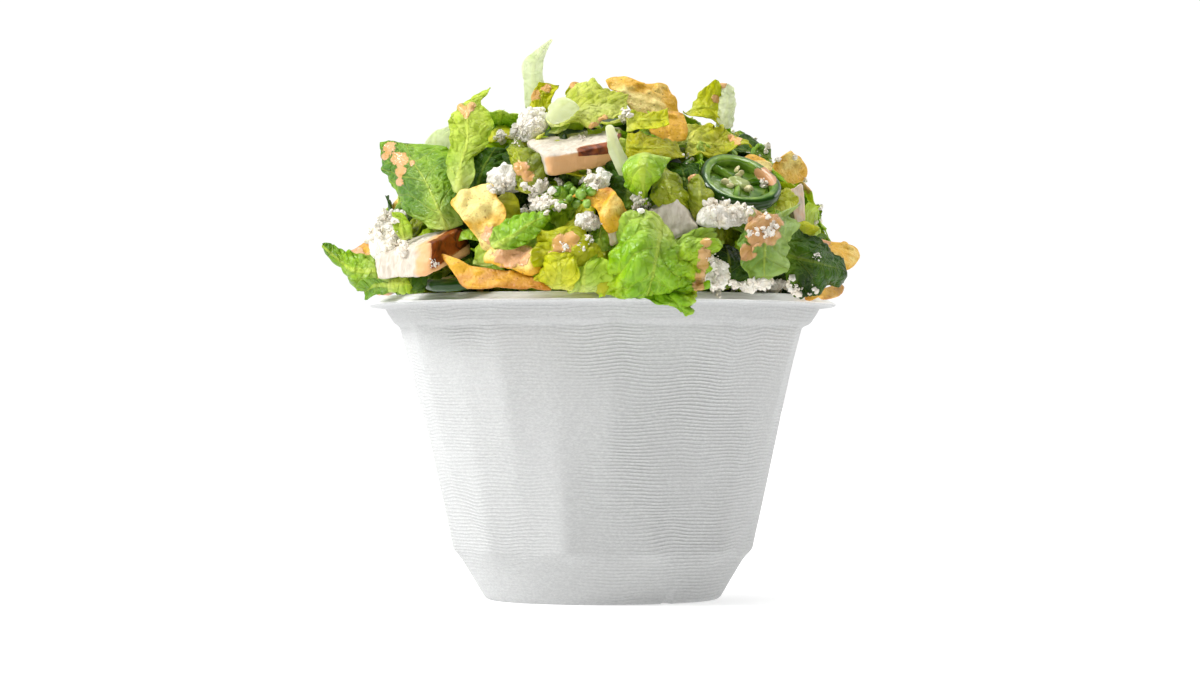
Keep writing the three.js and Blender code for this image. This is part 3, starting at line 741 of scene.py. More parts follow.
def leaf(rows, kind, seed, mid=0.5, wave=1.0, blister=0.9, crumple=1.2, frill=0.09, pitch=7.0,
         thick=0.5, sauce=(), rib=1.2, paleness=0.3, size=(48, 54), settle=None):
    """A leaf from rows of points across it, root to tip. Curves through the rows make its middle
    surface; its edges wave and are torn unevenly; between side veins, which leave the midrib at a
    slant every pitch, it bulges in puffs; and two copies of it a thickness apart are joined to a
    solid. sauce lists dressing as (pixel x, pixel y, radius in pixels), or is a share from 0 to 1.
    settle moves a loose leaf to where it lies."""
    columns, count = size
    rows = np.asarray(rows, float)
    middle = through(np.swapaxes(through(np.swapaxes(rows, 0, 1), columns), 0, 1), count)
    if settle is None and cross_of(middle)[..., 1].mean() > 0:
        middle, mid = middle[:, ::-1], 1 - mid
    u = np.linspace(0, 1, columns)[None, :]
    v = np.linspace(0, 1, count)[:, None]
    wide = np.linalg.norm(np.diff(middle, axis=1), axis=-1).sum(1)[:, None]
    spine = middle[:, [round(mid * (columns - 1))]]
    steps = np.linalg.norm(np.diff(spine[:, 0], axis=0), axis=-1)
    along = np.concatenate([[0], np.cumsum(steps)])[:, None] + 0 * u
    across = (u - mid) * wide
    side = np.abs(2 * u - 1)
    lane = np.stack([np.sign(u - mid) * 30 + 0 * v, along, 0 * along + 7 * seed], -1)
    torn = frill * side**3 * (rough(lane, 4.5, seed) * 1.6 + 0.5 * noise(lane, 1.1, seed + 1))
    middle = spine + (middle - spine) * (1 + torn)[..., None]
    ends = np.stack([across, 0 * along + 50, 0 * along + 7 * seed], -1)
    last = (middle[-1] - middle[-6]) * 0.5
    middle = middle + last * (smooth(0.8, 1, v) * frill * 9 * rough(ends, 5, seed + 9))[..., None]
    place = np.stack([across, along, 0 * along + 11.3 * seed], -1)
    branch = (along - VEIN_SLANT * np.abs(across)) / pitch + 0.25 * noise(place, 9, seed) + seed % 1
    bulge = blister * np.abs(np.sin(np.pi * branch)) ** 0.7 * smooth(0.5, 4, np.abs(across))
    puffs = np.abs(noise(place, 4.6, seed + 7)) + 0.4 * np.abs(noise(place, 2.3, seed))
    puffs = blister * 1.3 * puffs
    waves = noise(lane, 8.0, seed + 2) * 2.4 + 0.8 * noise(lane, 3.6, seed + 3)
    waves = wave * side**2.4 * waves
    curl = crumple * (1.3 * noise(place, 15, seed + 4) + 0.7 * noise(place, 7, seed + 5))
    middle = middle + cross_of(middle) * (bulge + puffs + waves + curl)[..., None]
    middle = clear_of_rim(middle if settle is None else settle(middle))
    if isinstance(sauce, (int, float)):
        spread = smooth(1 - sauce, 1.35 - sauce, 0.5 + 0.5 * rough(place, 9, seed + 8))
    else:
        spread = dressing_on(middle, sauce)
    out = cross_of(middle)
    half = thick / 2 * (0.3 + 0.7 * smooth(0, 0.06, np.minimum(u, 1 - u) + 0 * v))
    ridge = rib * 0.3 * np.exp(-((across / (1.2 * rib)) ** 2))
    half = half + ridge * (1 - v) * smooth(1, 0.4, side)
    front = middle + out * (half + DRESSING_DEPTH * spread)[..., None]
    back = middle - out * half[..., None]
    blade, dim, light = (np.array(colour(c)) for c in LEAF_KINDS[kind][1:])
    tone = smooth(-0.5, 0.6, rough(place, 14, seed + 6))[..., None]
    near_rib = paleness * np.exp(-np.abs(across) / 5) * (1.15 - v)
    share = np.clip(near_rib + 0.45 * smooth(0.3, 0, v + 0 * u), 0, 1)[..., None]
    tint = (blade * tone + dim * (1 - tone)) * (1 - share) + light * share
    values = {
        "blade": np.stack([across, along, np.full_like(along, 17.0 * seed % 97)], -1),
        "branch": branch,
        "rib": across / np.maximum(rib * (1.05 - v), 0.2),
        "sauce": spread,
        "tint": tint,
    }
    return sheet(front, back, **values)


# The leaves that the photo shows. Rows run from root to tip, each across the leaf, as pixel x,
# pixel y and depth.
LEAVES = {
    "big_left": dict(kind="mid", mid=0.55, pitch=13, wave=1.3, crumple=1.0, blister=0.1, frill=0.05,
                     rib=0.9, paleness=0.6, sauce=[(400, 160, 8), (401, 172, 6), (401, 182, 4),
                     (390, 148, 6), (386, 156, 4), (413, 164, 3)], rows=[
        [(429, 228, -64), (446, 230, -67), (463, 224, -66)],
        [(406, 212, -56), (434, 206, -66), (461, 197, -64)],
        [(391, 189, -46), (421, 180, -58), (455, 168, -57)],
        [(380, 165, -38), (408, 160, -47), (449, 151, -50)],
        [(381, 143, -32), (403, 143, -38), (436, 144, -44)]]),
    # Its near-white colour is a painted highlight on a greyish-green leaf.
    "painted_highlight_behind": dict(kind="ghost", wave=1.4, crumple=2.0, pitch=5, rows=[
        [(414, 176, -40), (436, 178, -42), (458, 176, -40)],
        [(417, 157, -38), (436, 154, -40), (456, 152, -38)],
        [(424, 143, -34), (438, 138, -34), (454, 133, -33)]]),
    "pale_upright": dict(kind="pale", mid=0.45, pitch=9, wave=0.8, crumple=1.0,
                         sauce=[(466, 112, 6), (461, 107, 3), (472, 106, 3)], rows=[
        [(456, 192, -66), (460, 194, -67), (465, 190, -66)],
        [(449, 165, -62), (462, 166, -66), (475, 158, -62)],
        [(451, 140, -56), (469, 143, -60), (488, 143, -56)],
        [(453, 115, -50), (470, 114, -54), (489, 115, -50)],
        [(464, 106, -47), (473, 103, -49), (481, 101, -47)],
        [(487, 92, -44), (489, 90, -44), (492, 88, -44)]]),
    # The sprig's near-white colour is partly its own pale colour and partly painted backlight.
    "sprig": dict(kind="ghost", wave=0.5, crumple=0.7, pitch=12, rows=[
        [(526, 108, -24), (530, 109, -25), (535, 106, -24)],
        [(526, 90, -23), (534, 92, -25), (542, 92, -23)],
        [(523, 68, -22), (533, 70, -23), (543, 70, -22)],
        [(531, 55, -21), (538, 57, -22), (544, 57, -21)],
        [(546, 43, -20), (548, 43, -20), (550, 44, -20)],
        [(551, 39, -19), (552, 39, -19), (553, 39, -19)]]),
    "dark_left": dict(kind="dark", crumple=2.0, rows=[
        [(459, 194, -62), (474, 198, -64), (492, 196, -62)],
        [(464, 172, -58), (482, 174, -63), (502, 172, -60)],
        [(478, 155, -54), (497, 153, -57), (514, 152, -54)]]),
    "dark_middle": dict(kind="dark", crumple=2.0, rows=[
        [(488, 198, -62), (510, 200, -66), (535, 196, -64)],
        [(496, 172, -60), (514, 170, -64), (534, 170, -60)],
        [(505, 150, -54), (516, 147, -56), (530, 149, -54)]]),
    "olive_dressed": dict(kind="olive", mid=0.4, crumple=1.4,
                          sauce=[(522, 168, 8), (528, 176, 6)], rows=[
        [(516, 190, -72), (530, 194, -74), (548, 190, -70)],
        [(512, 166, -68), (526, 170, -72), (547, 168, -66)],
        [(509, 146, -62), (515, 139, -62), (528, 147, -62)]]),
    "dome": dict(kind="cream", mid=0.35, pitch=4, crumple=1.8, wave=1.4, paleness=0.5, blister=0.7,
                 sauce=[(603, 122, 6), (594, 127, 5)], rows=[
        [(553, 130, -54), (548, 118, -48), (556, 104, -40)],
        [(571, 128, -58), (568, 110, -52), (573, 94, -38)],
        [(592, 124, -60), (590, 103, -52), (592, 85, -36)],
        [(612, 119, -58), (612, 102, -50), (613, 89, -36)],
        [(626, 115, -54), (627, 108, -48), (625, 102, -40)]]),
    "frill": dict(kind="heart", wave=2.2, crumple=2.0, pitch=4, rows=[
        [(627, 129, -62), (627, 120, -60), (632, 113, -58)],
        [(646, 132, -62), (646, 121, -61), (648, 114, -58)],
        [(667, 131, -60), (668, 122, -58), (665, 116, -56)]]),
    "flat_rib": dict(kind="amber", wave=1.2, crumple=1.4, pitch=9, paleness=0.15, frill=0.14, rows=[
        [(626, 160, -70), (626, 146, -68), (628, 132, -62)],
        [(652, 165, -72), (651, 150, -70), (650, 134, -62)],
        [(681, 161, -66), (679, 150, -64), (677, 140, -60)]]),
    "top_chunk": dict(kind="heart", wave=2.8, crumple=2.4, pitch=5, frill=0.1,
                      sauce=[(715, 99, 4)], rows=[
        [(685, 117, -24), (688, 110, -23), (694, 102, -20)],
        [(700, 121, -26), (702, 109, -25), (705, 97, -21)],
        [(722, 127, -26), (722, 111, -25), (721, 96, -21)]]),
    "top_rib": dict(kind="ghost", wave=1.0, crumple=1.2, pitch=3, paleness=0.8, frill=0.05,
                    sauce=[(723, 83, 5)], rows=[
        [(717, 127, -29), (725, 129, -30), (732, 127, -28)],
        [(718, 105, -27), (727, 105, -28), (736, 105, -26)],
        [(718, 84, -24), (727, 84, -25), (735, 89, -24)]]),
    "right_top": dict(kind="heart", wave=2.8, crumple=2.4, pitch=6, frill=0.2,
                      sauce=[(731, 139, 4), (738, 142, 4)], rows=[
        [(688, 164, -51), (684, 149, -48), (686, 133, -40)],
        [(706, 162, -51), (706, 147, -47), (706, 132, -38)],
        [(724, 158, -48), (724, 146, -45), (724, 134, -38)],
        [(738, 147, -44), (740, 142, -43), (738, 137, -42)],
        [(746, 143, -42), (747, 142, -42), (747, 141, -42)]]),
    "ribbon": dict(kind="ghost", wave=0.4, crumple=0.5, pitch=12, blister=0.3, rows=[
        [(606, 129, -70), (609, 127, -70), (613, 129, -69)],
        [(608, 148, -76), (614, 147, -77), (620, 147, -75)],
        [(613, 163, -79), (620, 162, -80), (627, 163, -78)],
        [(620, 176, -81), (624, 177, -82), (629, 178, -80)]]),
    "curled": dict(kind="bright", wave=2.4, crumple=3.0, pitch=5, rows=[
        [(626, 164, -78), (644, 160, -80), (662, 165, -76)],
        [(629, 181, -81), (642, 178, -86), (657, 176, -80)],
        [(637, 199, -84), (645, 204, -86), (652, 197, -84)]]),
    "fold": dict(kind="olive", wave=1.0, crumple=1.4, pitch=8, rows=[
        [(656, 170, -76), (661, 165, -78), (668, 170, -74)],
        [(654, 190, -80), (666, 186, -82), (679, 186, -76)],
        [(654, 203, -82), (672, 200, -83), (687, 199, -78)],
        [(671, 207, -82), (680, 211, -82), (687, 209, -79)]]),
    "fold_behind": dict(kind="dark", wave=0.8, crumple=1.4, rows=[
        [(684, 216, -72), (692, 219, -73), (700, 216, -71)],
        [(675, 190, -71), (686, 188, -73), (698, 188, -70)],
        [(666, 165, -68), (680, 163, -69), (696, 164, -66)]]),
    "olive_upright": dict(kind="olive", wave=0.9, crumple=1.0, pitch=7,
                          sauce=[(689, 172, 7), (686, 180, 5)], rows=[
        [(692, 217, -80), (700, 222, -80), (713, 213, -78)],
        [(688, 196, -78), (699, 197, -80), (713, 200, -76)],
        [(691, 180, -75), (697, 176, -75), (703, 184, -73)]]),
    "dark_centre": dict(kind="dark", crumple=2.0, rows=[
        [(606, 205, -76), (630, 210, -78), (652, 206, -76)],
        [(606, 182, -73), (628, 182, -76), (650, 184, -73)],
        [(608, 164, -68), (622, 160, -70), (642, 164, -68)]]),
    "big_front": dict(kind="bright", mid=0.42, pitch=8, wave=2.0, crumple=2.6, blister=1.9,
                      frill=0.03, sauce=[(706, 243, 5), (704, 254, 6), (702, 265, 6),
                                         (700, 276, 6), (698, 286, 6)], rows=[
        [(623, 219, -86), (641, 221, -89), (660, 221, -90),
         (676, 240, -91), (692, 234, -88), (711, 230, -83)],
        [(616, 244, -91), (634, 244, -96), (655, 246, -98),
         (674, 255, -97), (691, 251, -94), (709, 248, -86)],
        [(609, 268, -94), (630, 268, -99), (652, 270, -102),
         (670, 273, -101), (688, 271, -96), (705, 269, -88)],
        [(604, 288, -87), (627, 289, -89), (648, 289, -91),
         (666, 290, -93), (683, 289, -93), (697, 288, -88)],
        [(643, 292, -91), (659, 296, -93), (671, 299, -95),
         (680, 300, -96), (688, 298, -95), (695, 296, -92)],
        [(682, 311, -95), (684, 312, -95), (686, 314, -95),
         (687, 315, -95), (688, 314, -95), (690, 311, -94)]]),
    "sage_dressed": dict(kind="sage", wave=1.8, crumple=2.0, pitch=7, frill=0.14,
                         sauce=[(765, 220, 13), (770, 235, 10), (756, 238, 9), (747, 252, 8),
                                (776, 224, 7), (752, 225, 8)], rows=[
        [(748, 211, -79), (774, 214, -78), (795, 206, -68)],
        [(740, 235, -84), (766, 232, -84), (792, 231, -74)],
        [(741, 252, -86), (764, 252, -86), (787, 254, -78)],
        [(750, 269, -85), (763, 271, -85), (777, 264, -80)],
        [(756, 279, -83), (760, 280, -83), (765, 277, -82)]]),
    "dark_veined": dict(kind="dark", mid=0.55, wave=1.0, crumple=0.9, pitch=9, blister=0.4, rows=[
        [(788, 288, -60), (785, 258, -68), (791, 227, -60)],
        [(804, 294, -58), (806, 263, -68), (811, 236, -60)],
        [(823, 290, -52), (827, 268, -60), (829, 250, -54)],
        [(842, 283, -44), (846, 272, -50), (841, 261, -46)]]),
    "round_dark": dict(kind="deep", wave=0.6, crumple=0.8, blister=0.3, paleness=0.1, rows=[
        [(710, 284, -78), (728, 288, -80), (748, 284, -77)],
        [(709, 262, -79), (729, 261, -82), (750, 264, -78)],
        [(716, 249, -77), (725, 246, -78), (738, 250, -76)]]),
    "left_crinkled": dict(kind="mid", wave=2.0, crumple=1.8, pitch=6, sauce=[(368, 252, 4)], rows=[
        [(380, 288, -46), (378, 272, -46), (375, 256, -42)],
        [(361, 289, -42), (359, 272, -43), (358, 256, -38)],
        [(349, 281, -38), (346, 265, -39), (345, 252, -36)],
        [(335, 262, -35), (332, 253, -35), (334, 249, -34)],
        [(326, 247, -33), (325, 246, -33), (326, 245, -33)]]),
    "left_low": dict(kind="mid", wave=1.4, crumple=1.0, pitch=6, rows=[
        [(400, 290, -62), (396, 284, -62), (392, 279, -60)],
        [(380, 293, -54), (376, 286, -54), (374, 281, -52)],
        [(368, 299, -49), (365, 292, -49), (363, 286, -48)]]),
    "bright_smooth": dict(kind="bright", wave=0.7, crumple=0.8, pitch=4, paleness=0.2, rows=[
        [(491, 243, -86), (494, 249, -88), (500, 250, -89)],
        [(505, 226, -84), (514, 237, -90), (520, 245, -89)],
        [(526, 214, -82), (534, 223, -88), (539, 230, -87)],
        [(548, 213, -82), (549, 216, -83), (550, 219, -83)]]),
    "heart_dressed": dict(kind="heart", wave=2.2, crumple=4.2, pitch=5,
                          sauce=[(562, 245, 10), (572, 240, 7), (552, 255, 5)], rows=[
        [(541, 292, -79), (570, 293, -80), (597, 288, -80)],
        [(539, 268, -90), (570, 270, -94), (602, 268, -91)],
        [(537, 245, -91), (564, 240, -94), (592, 244, -90)],
        [(536, 231, -87), (549, 234, -88), (570, 237, -87)]]),
    "small_green": dict(kind="romaine", wave=1.4, crumple=1.6, rows=[
        [(588, 250, -88), (600, 252, -89), (615, 248, -87)],
        [(590, 236, -86), (600, 236, -88), (613, 236, -86)],
        [(595, 228, -84), (601, 227, -84), (608, 229, -84)]]),
    "lime_right": dict(kind="heart", wave=0.8, crumple=1.0, rows=[
        [(774, 210, -60), (786, 213, -60), (798, 208, -56)],
        [(779, 200, -58), (787, 198, -58), (796, 198, -55)],
        [(784, 190, -54), (787, 189, -54), (792, 191, -53)]]),
    "pale_right": dict(kind="heart", wave=0.8, crumple=0.8, rows=[
        [(796, 236, -50), (803, 239, -50), (812, 236, -48)],
        [(797, 229, -50), (803, 227, -50), (813, 230, -47)],
        [(798, 223, -49), (803, 221, -49), (808, 224, -48)]]),
    "pale_fold": dict(kind="pale", wave=0.7, crumple=0.9, rows=[
        [(475, 264, -78), (486, 266, -80), (499, 262, -80)],
        [(477, 252, -79), (487, 250, -81), (499, 250, -80)],
        [(480, 243, -78), (489, 241, -79), (498, 243, -79)]]),
    "pale_chunk": dict(kind="pale", wave=0.6, crumple=0.8, thick=2.5, rows=[
        [(392, 291, -60), (391, 285, -61), (393, 279, -59)],
        [(403, 291, -63), (402, 285, -64), (403, 279, -62)],
        [(412, 290, -66), (412, 285, -67), (411, 279, -65)]]),
    "left_strip": dict(kind="pale", wave=0.6, crumple=0.8, rows=[
        [(399, 236, -62), (404, 240, -63), (412, 238, -64)],
        [(394, 224, -60), (402, 227, -62), (412, 228, -64)],
        [(394, 213, -58), (399, 212, -60), (407, 216, -62)]]),
    "orange_bit": dict(kind="amber", wave=0.8, crumple=0.8,
                       sauce=[(536, 96, 5), (546, 88, 5)], rows=[
        [(533, 118, -34), (540, 121, -35), (549, 118, -34)],
        [(532, 100, -32), (541, 100, -33), (551, 100, -32)],
        [(540, 86, -30), (548, 84, -30), (557, 88, -29)]]),
    "orange_bit_right": dict(kind="amber", wave=0.6, crumple=0.6, sauce=[(575, 87, 7)], rows=[
        [(566, 96, -33), (573, 98, -34), (584, 97, -33)],
        [(569, 84, -32), (576, 82, -32), (583, 85, -32)]]),
    "cut_rib": dict(kind="ghost", wave=1.2, crumple=2.4, thick=1.6, blister=0.6, frill=0.2, rows=[
        [(548, 121, -60), (552, 125, -61), (560, 126, -61)],
        [(551, 109, -57), (558, 114, -59), (567, 120, -59)],
        [(562, 102, -54), (570, 106, -55), (577, 113, -55)]]),
    "heart_fold": dict(kind="heart", wave=2.0, crumple=2.6, pitch=4, mid=0.6, rows=[
        [(540, 284, -90), (552, 288, -94), (566, 286, -92)],
        [(540, 270, -94), (554, 272, -99), (570, 268, -95)],
        [(544, 258, -93), (556, 256, -96), (568, 256, -93)]]),
    "pale_fold_low": dict(kind="pale", wave=2.0, crumple=2.2, pitch=4, mid=0.4, rows=[
        [(572, 288, -90), (586, 290, -92), (600, 286, -90)],
        [(574, 272, -95), (588, 270, -98), (600, 268, -94)],
        [(580, 258, -94), (590, 254, -95), (598, 256, -93)]]),
    "rim_green": dict(kind="dark", wave=0.8, crumple=1.0, rows=[
        [(400, 291, -60), (412, 292, -64), (426, 291, -66)],
        [(402, 282, -62), (412, 280, -66), (428, 280, -67)],
        [(406, 272, -58), (416, 270, -62), (428, 271, -64)]]),
}


def photo_leaves():
    """The leaves that the photo shows, by finish, each with noise of its own."""
    made = {finish: [] for finish, *_ in LEAF_KINDS.values()}
    for number, facts in enumerate(LEAVES.values()):
        finish = LEAF_KINDS[facts["kind"]][0]
        made[finish].append(leaf(**{**facts, "rows": seen(facts["rows"])}, seed=number + 0.37))
    return made


RIM_INSIDE, RIM_LEVEL = 70.0, 112.5


def lying_on_heap(out, extra):
    """Moves a loose leaf inwards, whole, by as much as it stands out of the heap's outline, down
    from above the heap's top, and up from beside the rim."""

    def settle(points):
        radius = np.hypot(points[..., 0], points[..., 1])
        height = np.clip(points[..., 2], 113, HEAP_TOP - 1)
        beyond = (radius - heap_radius(height) - extra).max()
        level = unit(out * [1, 1, 0.001])
        moved = points - level * max(beyond, 0)
        moved[..., 2] -= max(moved[..., 2].max() - HEAP_TOP + 8, 0)
        over_rim = radius > RIM_INSIDE
        low = RIM_LEVEL - moved[..., 2][over_rim].min() if over_rim.any() else 0
        moved[..., 2] += max(low, 0) * 0.8
        return moved

    return settle


ROW_SPANS = (0.55, 1.1)
ALONG_LEAF = np.linspace(0, 1, 5)[:, None, None]
ACROSS_LEAF = np.linspace(-1, 1, 5)[None, :, None]


def loose_leaf(random, azimuth, height, lift, long, wide, kind, extra, size, sauce=0.0):
    """A torn leaf lying on the heap: rows across it along a random direction, its sides folded up
    or down, its tip bent, and the whole tipped and rolled a little."""
    v, u = ALONG_LEAF, ACROSS_LEAF
    place, out = on_heap(azimuth, height, lift)
    level = around(azimuth + 90, 1.0, 0.0)
    turn, tip, roll = (random.uniform(-most, most) for most in (2.6, 0.5, 0.45))
    forward = np.cross(out, level) * math.cos(turn) + level * math.sin(turn)
    forward = forward * math.cos(tip) + out * math.sin(tip)
    side = np.cross(forward, out)
    side = unit(side * math.cos(roll) + out * math.sin(roll))
    across_it = np.cross(side, forward)
    half = wide / 2 * random.uniform(*ROW_SPANS, v.shape)
    half = half * np.sin(np.pi * (0.15 + 0.7 * v)) ** 0.5
    bend, fold, sway = (random.uniform(*span) for span in ((-0.5, 0.7), (-0.5, 0.6), (-0.25, 0.25)))
    rows = place + forward * long * (v - 0.45) + side * (half * u + long * sway * (v - 0.4) ** 2)
    rows = rows + across_it * (long * bend * (v - 0.3) ** 2 + half * fold * u**2)
    return leaf(rows, kind, random.uniform(3, 60), mid=random.uniform(0.3, 0.7), wave=wide / 26,
                crumple=wide / 18, pitch=random.uniform(5, 9), size=size, sauce=sauce,
                rib=random.uniform(0.7, 1.5), settle=lying_on_heap(out, extra))


# Loose leaves: how many, from azimuth to azimuth, from height to height, the least and most lift,
# how far they may stand out, their length, points across and along them, and their kinds.
LOOSE_LEAVES = [
    (100, (66, 296), (117, 176), (-1.5, 2.5), 5.0, 33, (20, 24),
     ["romaine", "bright", "romaine", "heart", "pale", "dark", "olive", "bright"]),
    (50, (60, 300), (116, 176), (-9.0, -5.0), -1.0, 32, (14, 16),
     ["romaine", "dark", "bright", "olive"]),
    (50, (-75, 75), (116, 176), (-8.0, -4.0), -2.0, 25, (16, 18),
     ["romaine", "dark", "bright", "bright", "olive"]),
]
GOLDEN = 0.61803
# Where the heap is narrower: azimuth, by how much, and how far round.
TUCKS = [(86, 6, 24), (274, 4, 18)]
TOP_LEAVES = 34
TOP_LEVEL = 184.0
TOP_KINDS = ["romaine", "bright", "heart", "pale", "olive", "bright"]
RIM_BITS = 36
RIM_KINDS = ["olive", "heart", "romaine", "dark", "bright"]
FRONT_BITS = 46
FRONT_KINDS = ["bright", "romaine", "heart", "pale", "olive", "romaine"]


def flat_leaf(random, place, long, wide, kind):
    """A torn leaf lying loosely on the heap's top, its length in any direction."""
    v, u = ALONG_LEAF, ACROSS_LEAF
    turn = random.uniform(0, 2 * math.pi)
    forward = np.array([math.cos(turn), math.sin(turn), random.uniform(-0.25, 0.25)])
    side = np.array([-math.sin(turn), math.cos(turn), random.uniform(-0.25, 0.25)])
    half = wide / 2 * random.uniform(*ROW_SPANS, v.shape)
    fall = random.uniform(-0.4, 0.2) * long * (v - 0.4) ** 2
    fall = fall + random.uniform(-0.4, 0.3) * half * u**2
    rows = place + forward * long * (v - 0.5) + side * half * u + np.array([0, 0, 1]) * fall
    return leaf(rows, kind, random.uniform(3, 60), mid=random.uniform(0.3, 0.7), wave=wide / 26,
                crumple=wide / 18, pitch=random.uniform(5, 9), size=(20, 22), settle=below_top)


def below_top(points):
    """Brings a leaf down, whole, until none of it is more than a little over the core."""
    return points - [0, 0, max(points[..., 2].max() - TOP_LEVEL, 0)]


def loose_leaves():
    """Torn leaves in layers, spread by the golden ratio round the heap and evenly up it, and tucked
    in at both sides, where the photo shows the heap to be narrower."""
    random = np.random.default_rng(5)
    made = {kind: [] for kind in LEAF_KINDS}
    for count, (first, last), (low, high), lifts, extra, length, size, kinds in LOOSE_LEAVES:
        for i in range(count):
            azimuth = first + (last - first) * ((i * GOLDEN) % 1)
            height = low + (high - low) * (i + 0.5) / count
            kind = str(random.choice(kinds))
            long = length * random.uniform(0.7, 1.25)
            sauce = float(random.choice([0.0, 0.0, 0.0, 0.3]))
            tuck = sum(by * math.exp(-(((azimuth - at) / span) ** 2)) for at, by, span in TUCKS)
            lift = random.uniform(*lifts) - tuck
            wide = long * random.uniform(0.6, 0.95)
            made[kind].append(loose_leaf(random, azimuth, height, lift, long, wide, kind,
                                         extra - tuck, size, sauce))
    for i in range(TOP_LEAVES):
        radius, azimuth = 50 * math.sqrt((i + 0.5) / TOP_LEAVES), 360 * ((i * GOLDEN) % 1)
        if radius * math.cos(math.radians(azimuth)) < 24:
            kind = str(random.choice(TOP_KINDS))
            long = random.uniform(20, 32)
            place = around(azimuth, radius, 181 - 0.004 * radius**2)
            made[kind].append(flat_leaf(random, place, long, long * random.uniform(0.6, 0.9), kind))
    return made


def front_bits():
    """Small torn bits round the inside of the rim at the front, and others between the named
    leaves, a little behind them."""
    random = np.random.default_rng(14)
    made = {kind: [] for kind in LEAF_KINDS}
    for i in range(RIM_BITS):
        azimuth = -78 + 156 * (i + 0.5) / RIM_BITS
        kind = str(random.choice(RIM_KINDS))
        height, lift = random.uniform(112, 116), random.uniform(-7.5, -6.0)
        made[kind].append(loose_leaf(random, azimuth, height, lift, 17, 11, kind, 0.0, (16, 18)))
    for i in range(FRONT_BITS):
        azimuth = -62 + 124 * ((i * GOLDEN + 0.17) % 1)
        height = 116 + 62 * (i + 0.5) / FRONT_BITS
        kind = str(random.choice(FRONT_KINDS))
        long = random.uniform(12, 22)
        lift = random.uniform(-5.0, -2.0)
        wide = long * random.uniform(0.5, 0.9)
        made[kind].append(loose_leaf(random, azimuth, height, lift, long, wide, kind, -1.0,
                                     (20, 24)))
    return made


# The core's outline as radius and height.
CORE_PROFILE = [(40, 62), (62, 66), (70, 90), (70, 108), (70, 113), (73, 118), (74, 126), (70, 140),
                (59, 155), (44, 167), (25, 175), (6, 178)]


def make_core(material):
    """The heart of the heap, inside its outline, down into the cup, uneven above the rim."""
    rings, columns = 40, 96
    profile = through(CORE_PROFILE, rings)
    azimuth = np.arange(columns) * 360 / columns
    body = around(azimuth[None, :], profile[:, :1], profile[:, 1:]).reshape(-1, 3)
    foot, top = CORE_PROFILE[0][1], CORE_PROFILE[-1][1]
    points = np.vstack([[[0, 0, foot]], body, [[0, 0, top]]])
    quads, triangles = polar_faces(rings, columns)
    core = Shape(points, quads[:, ::-1], triangles[:, ::-1])
    above = smooth(114, 122, points[:, 2])
    core.push(above * (2.5 * rough(points, 14, 3) + 0.8 * noise(points, 4, 9)))
    piece("heap_core", [core], material, "salad_leaves", "salad_heap")


# ---- toppings ----------------------------------------------------------------------------------
CHIP_COLUMNS = 132


def chip(outline, frame_of, curl, seed, toast=0.3, sauce=(), thick=1.3):
    """A fried chip: an outline on a plane filled from its middle, domed and curled along its
    length, with blisters and streaks, and with a rounded edge all round."""
    lengthwise, crosswise, out = frame_of
    columns = CHIP_COLUMNS
    outline = through(outline, columns, closed=True)
    jag = 0.03 * rough(outline, 3.0, seed + 2) + 0.012 * noise(outline, 1.0, seed + 6)
    outline = outline + (outline - outline.mean(0)) * jag[:, None]
    middle = outline.mean(0)
    outward = np.concatenate([np.linspace(0.06, 0.93, 16), [0.965, 0.987]])
    reach = np.concatenate([outward, [1.0], outward[::-1]])
    rings = len(outward) + 1
    half = thick / 2 * np.sqrt(1 - outward**40) * (1 - 0.35 * outward**8)
    half = np.concatenate([half, [0.0], -half[::-1]])
    flat = middle + (outline[None] - middle) * reach[:, None, None]
    flat = np.vstack([[middle], flat.reshape(-1, 3), [middle]])
    half = np.concatenate([[thick / 2], np.repeat(half, columns), [-thick / 2]])
    offset = flat - middle
    x, y = offset @ lengthwise, offset @ crosswise
    long = np.abs(x).max()
    local = np.stack([x, y, np.full_like(x, 9.1 * seed)], -1)
    blisters = 2.4 * smooth(0.15, 0.7, noise(local, 7.0, seed + 3))
    blisters = blisters + 0.9 * smooth(0.1, 0.8, noise(local, 3.2, seed))
    streaks = 0.22 * noise(local * [0.35, 1.2, 1], 2.0, seed + 4)
    bend = -curl * (x / long) ** 2 * 1.2 + 1.4 * noise(local, 15, seed + 5) + blisters + streaks
    points = flat + out * (bend + half)[:, None]
    quads, triangles = polar_faces(2 * rings - 1, columns)
    edge = np.concatenate([[0], np.repeat(reach**6, columns), [0]])
    tone = toast + 0.3 * edge + 0.35 * noise(local, 8, seed + 7) - 0.1 * blisters + 0.3 * streaks
    side = np.cross(outline[1] - outline[0], outline[0] - middle) @ out
    if side > 0:
        quads, triangles = quads[:, ::-1], triangles[:, ::-1]
    return Shape(points, quads, triangles, toast=tone, sauce=dressing_on(points, sauce))


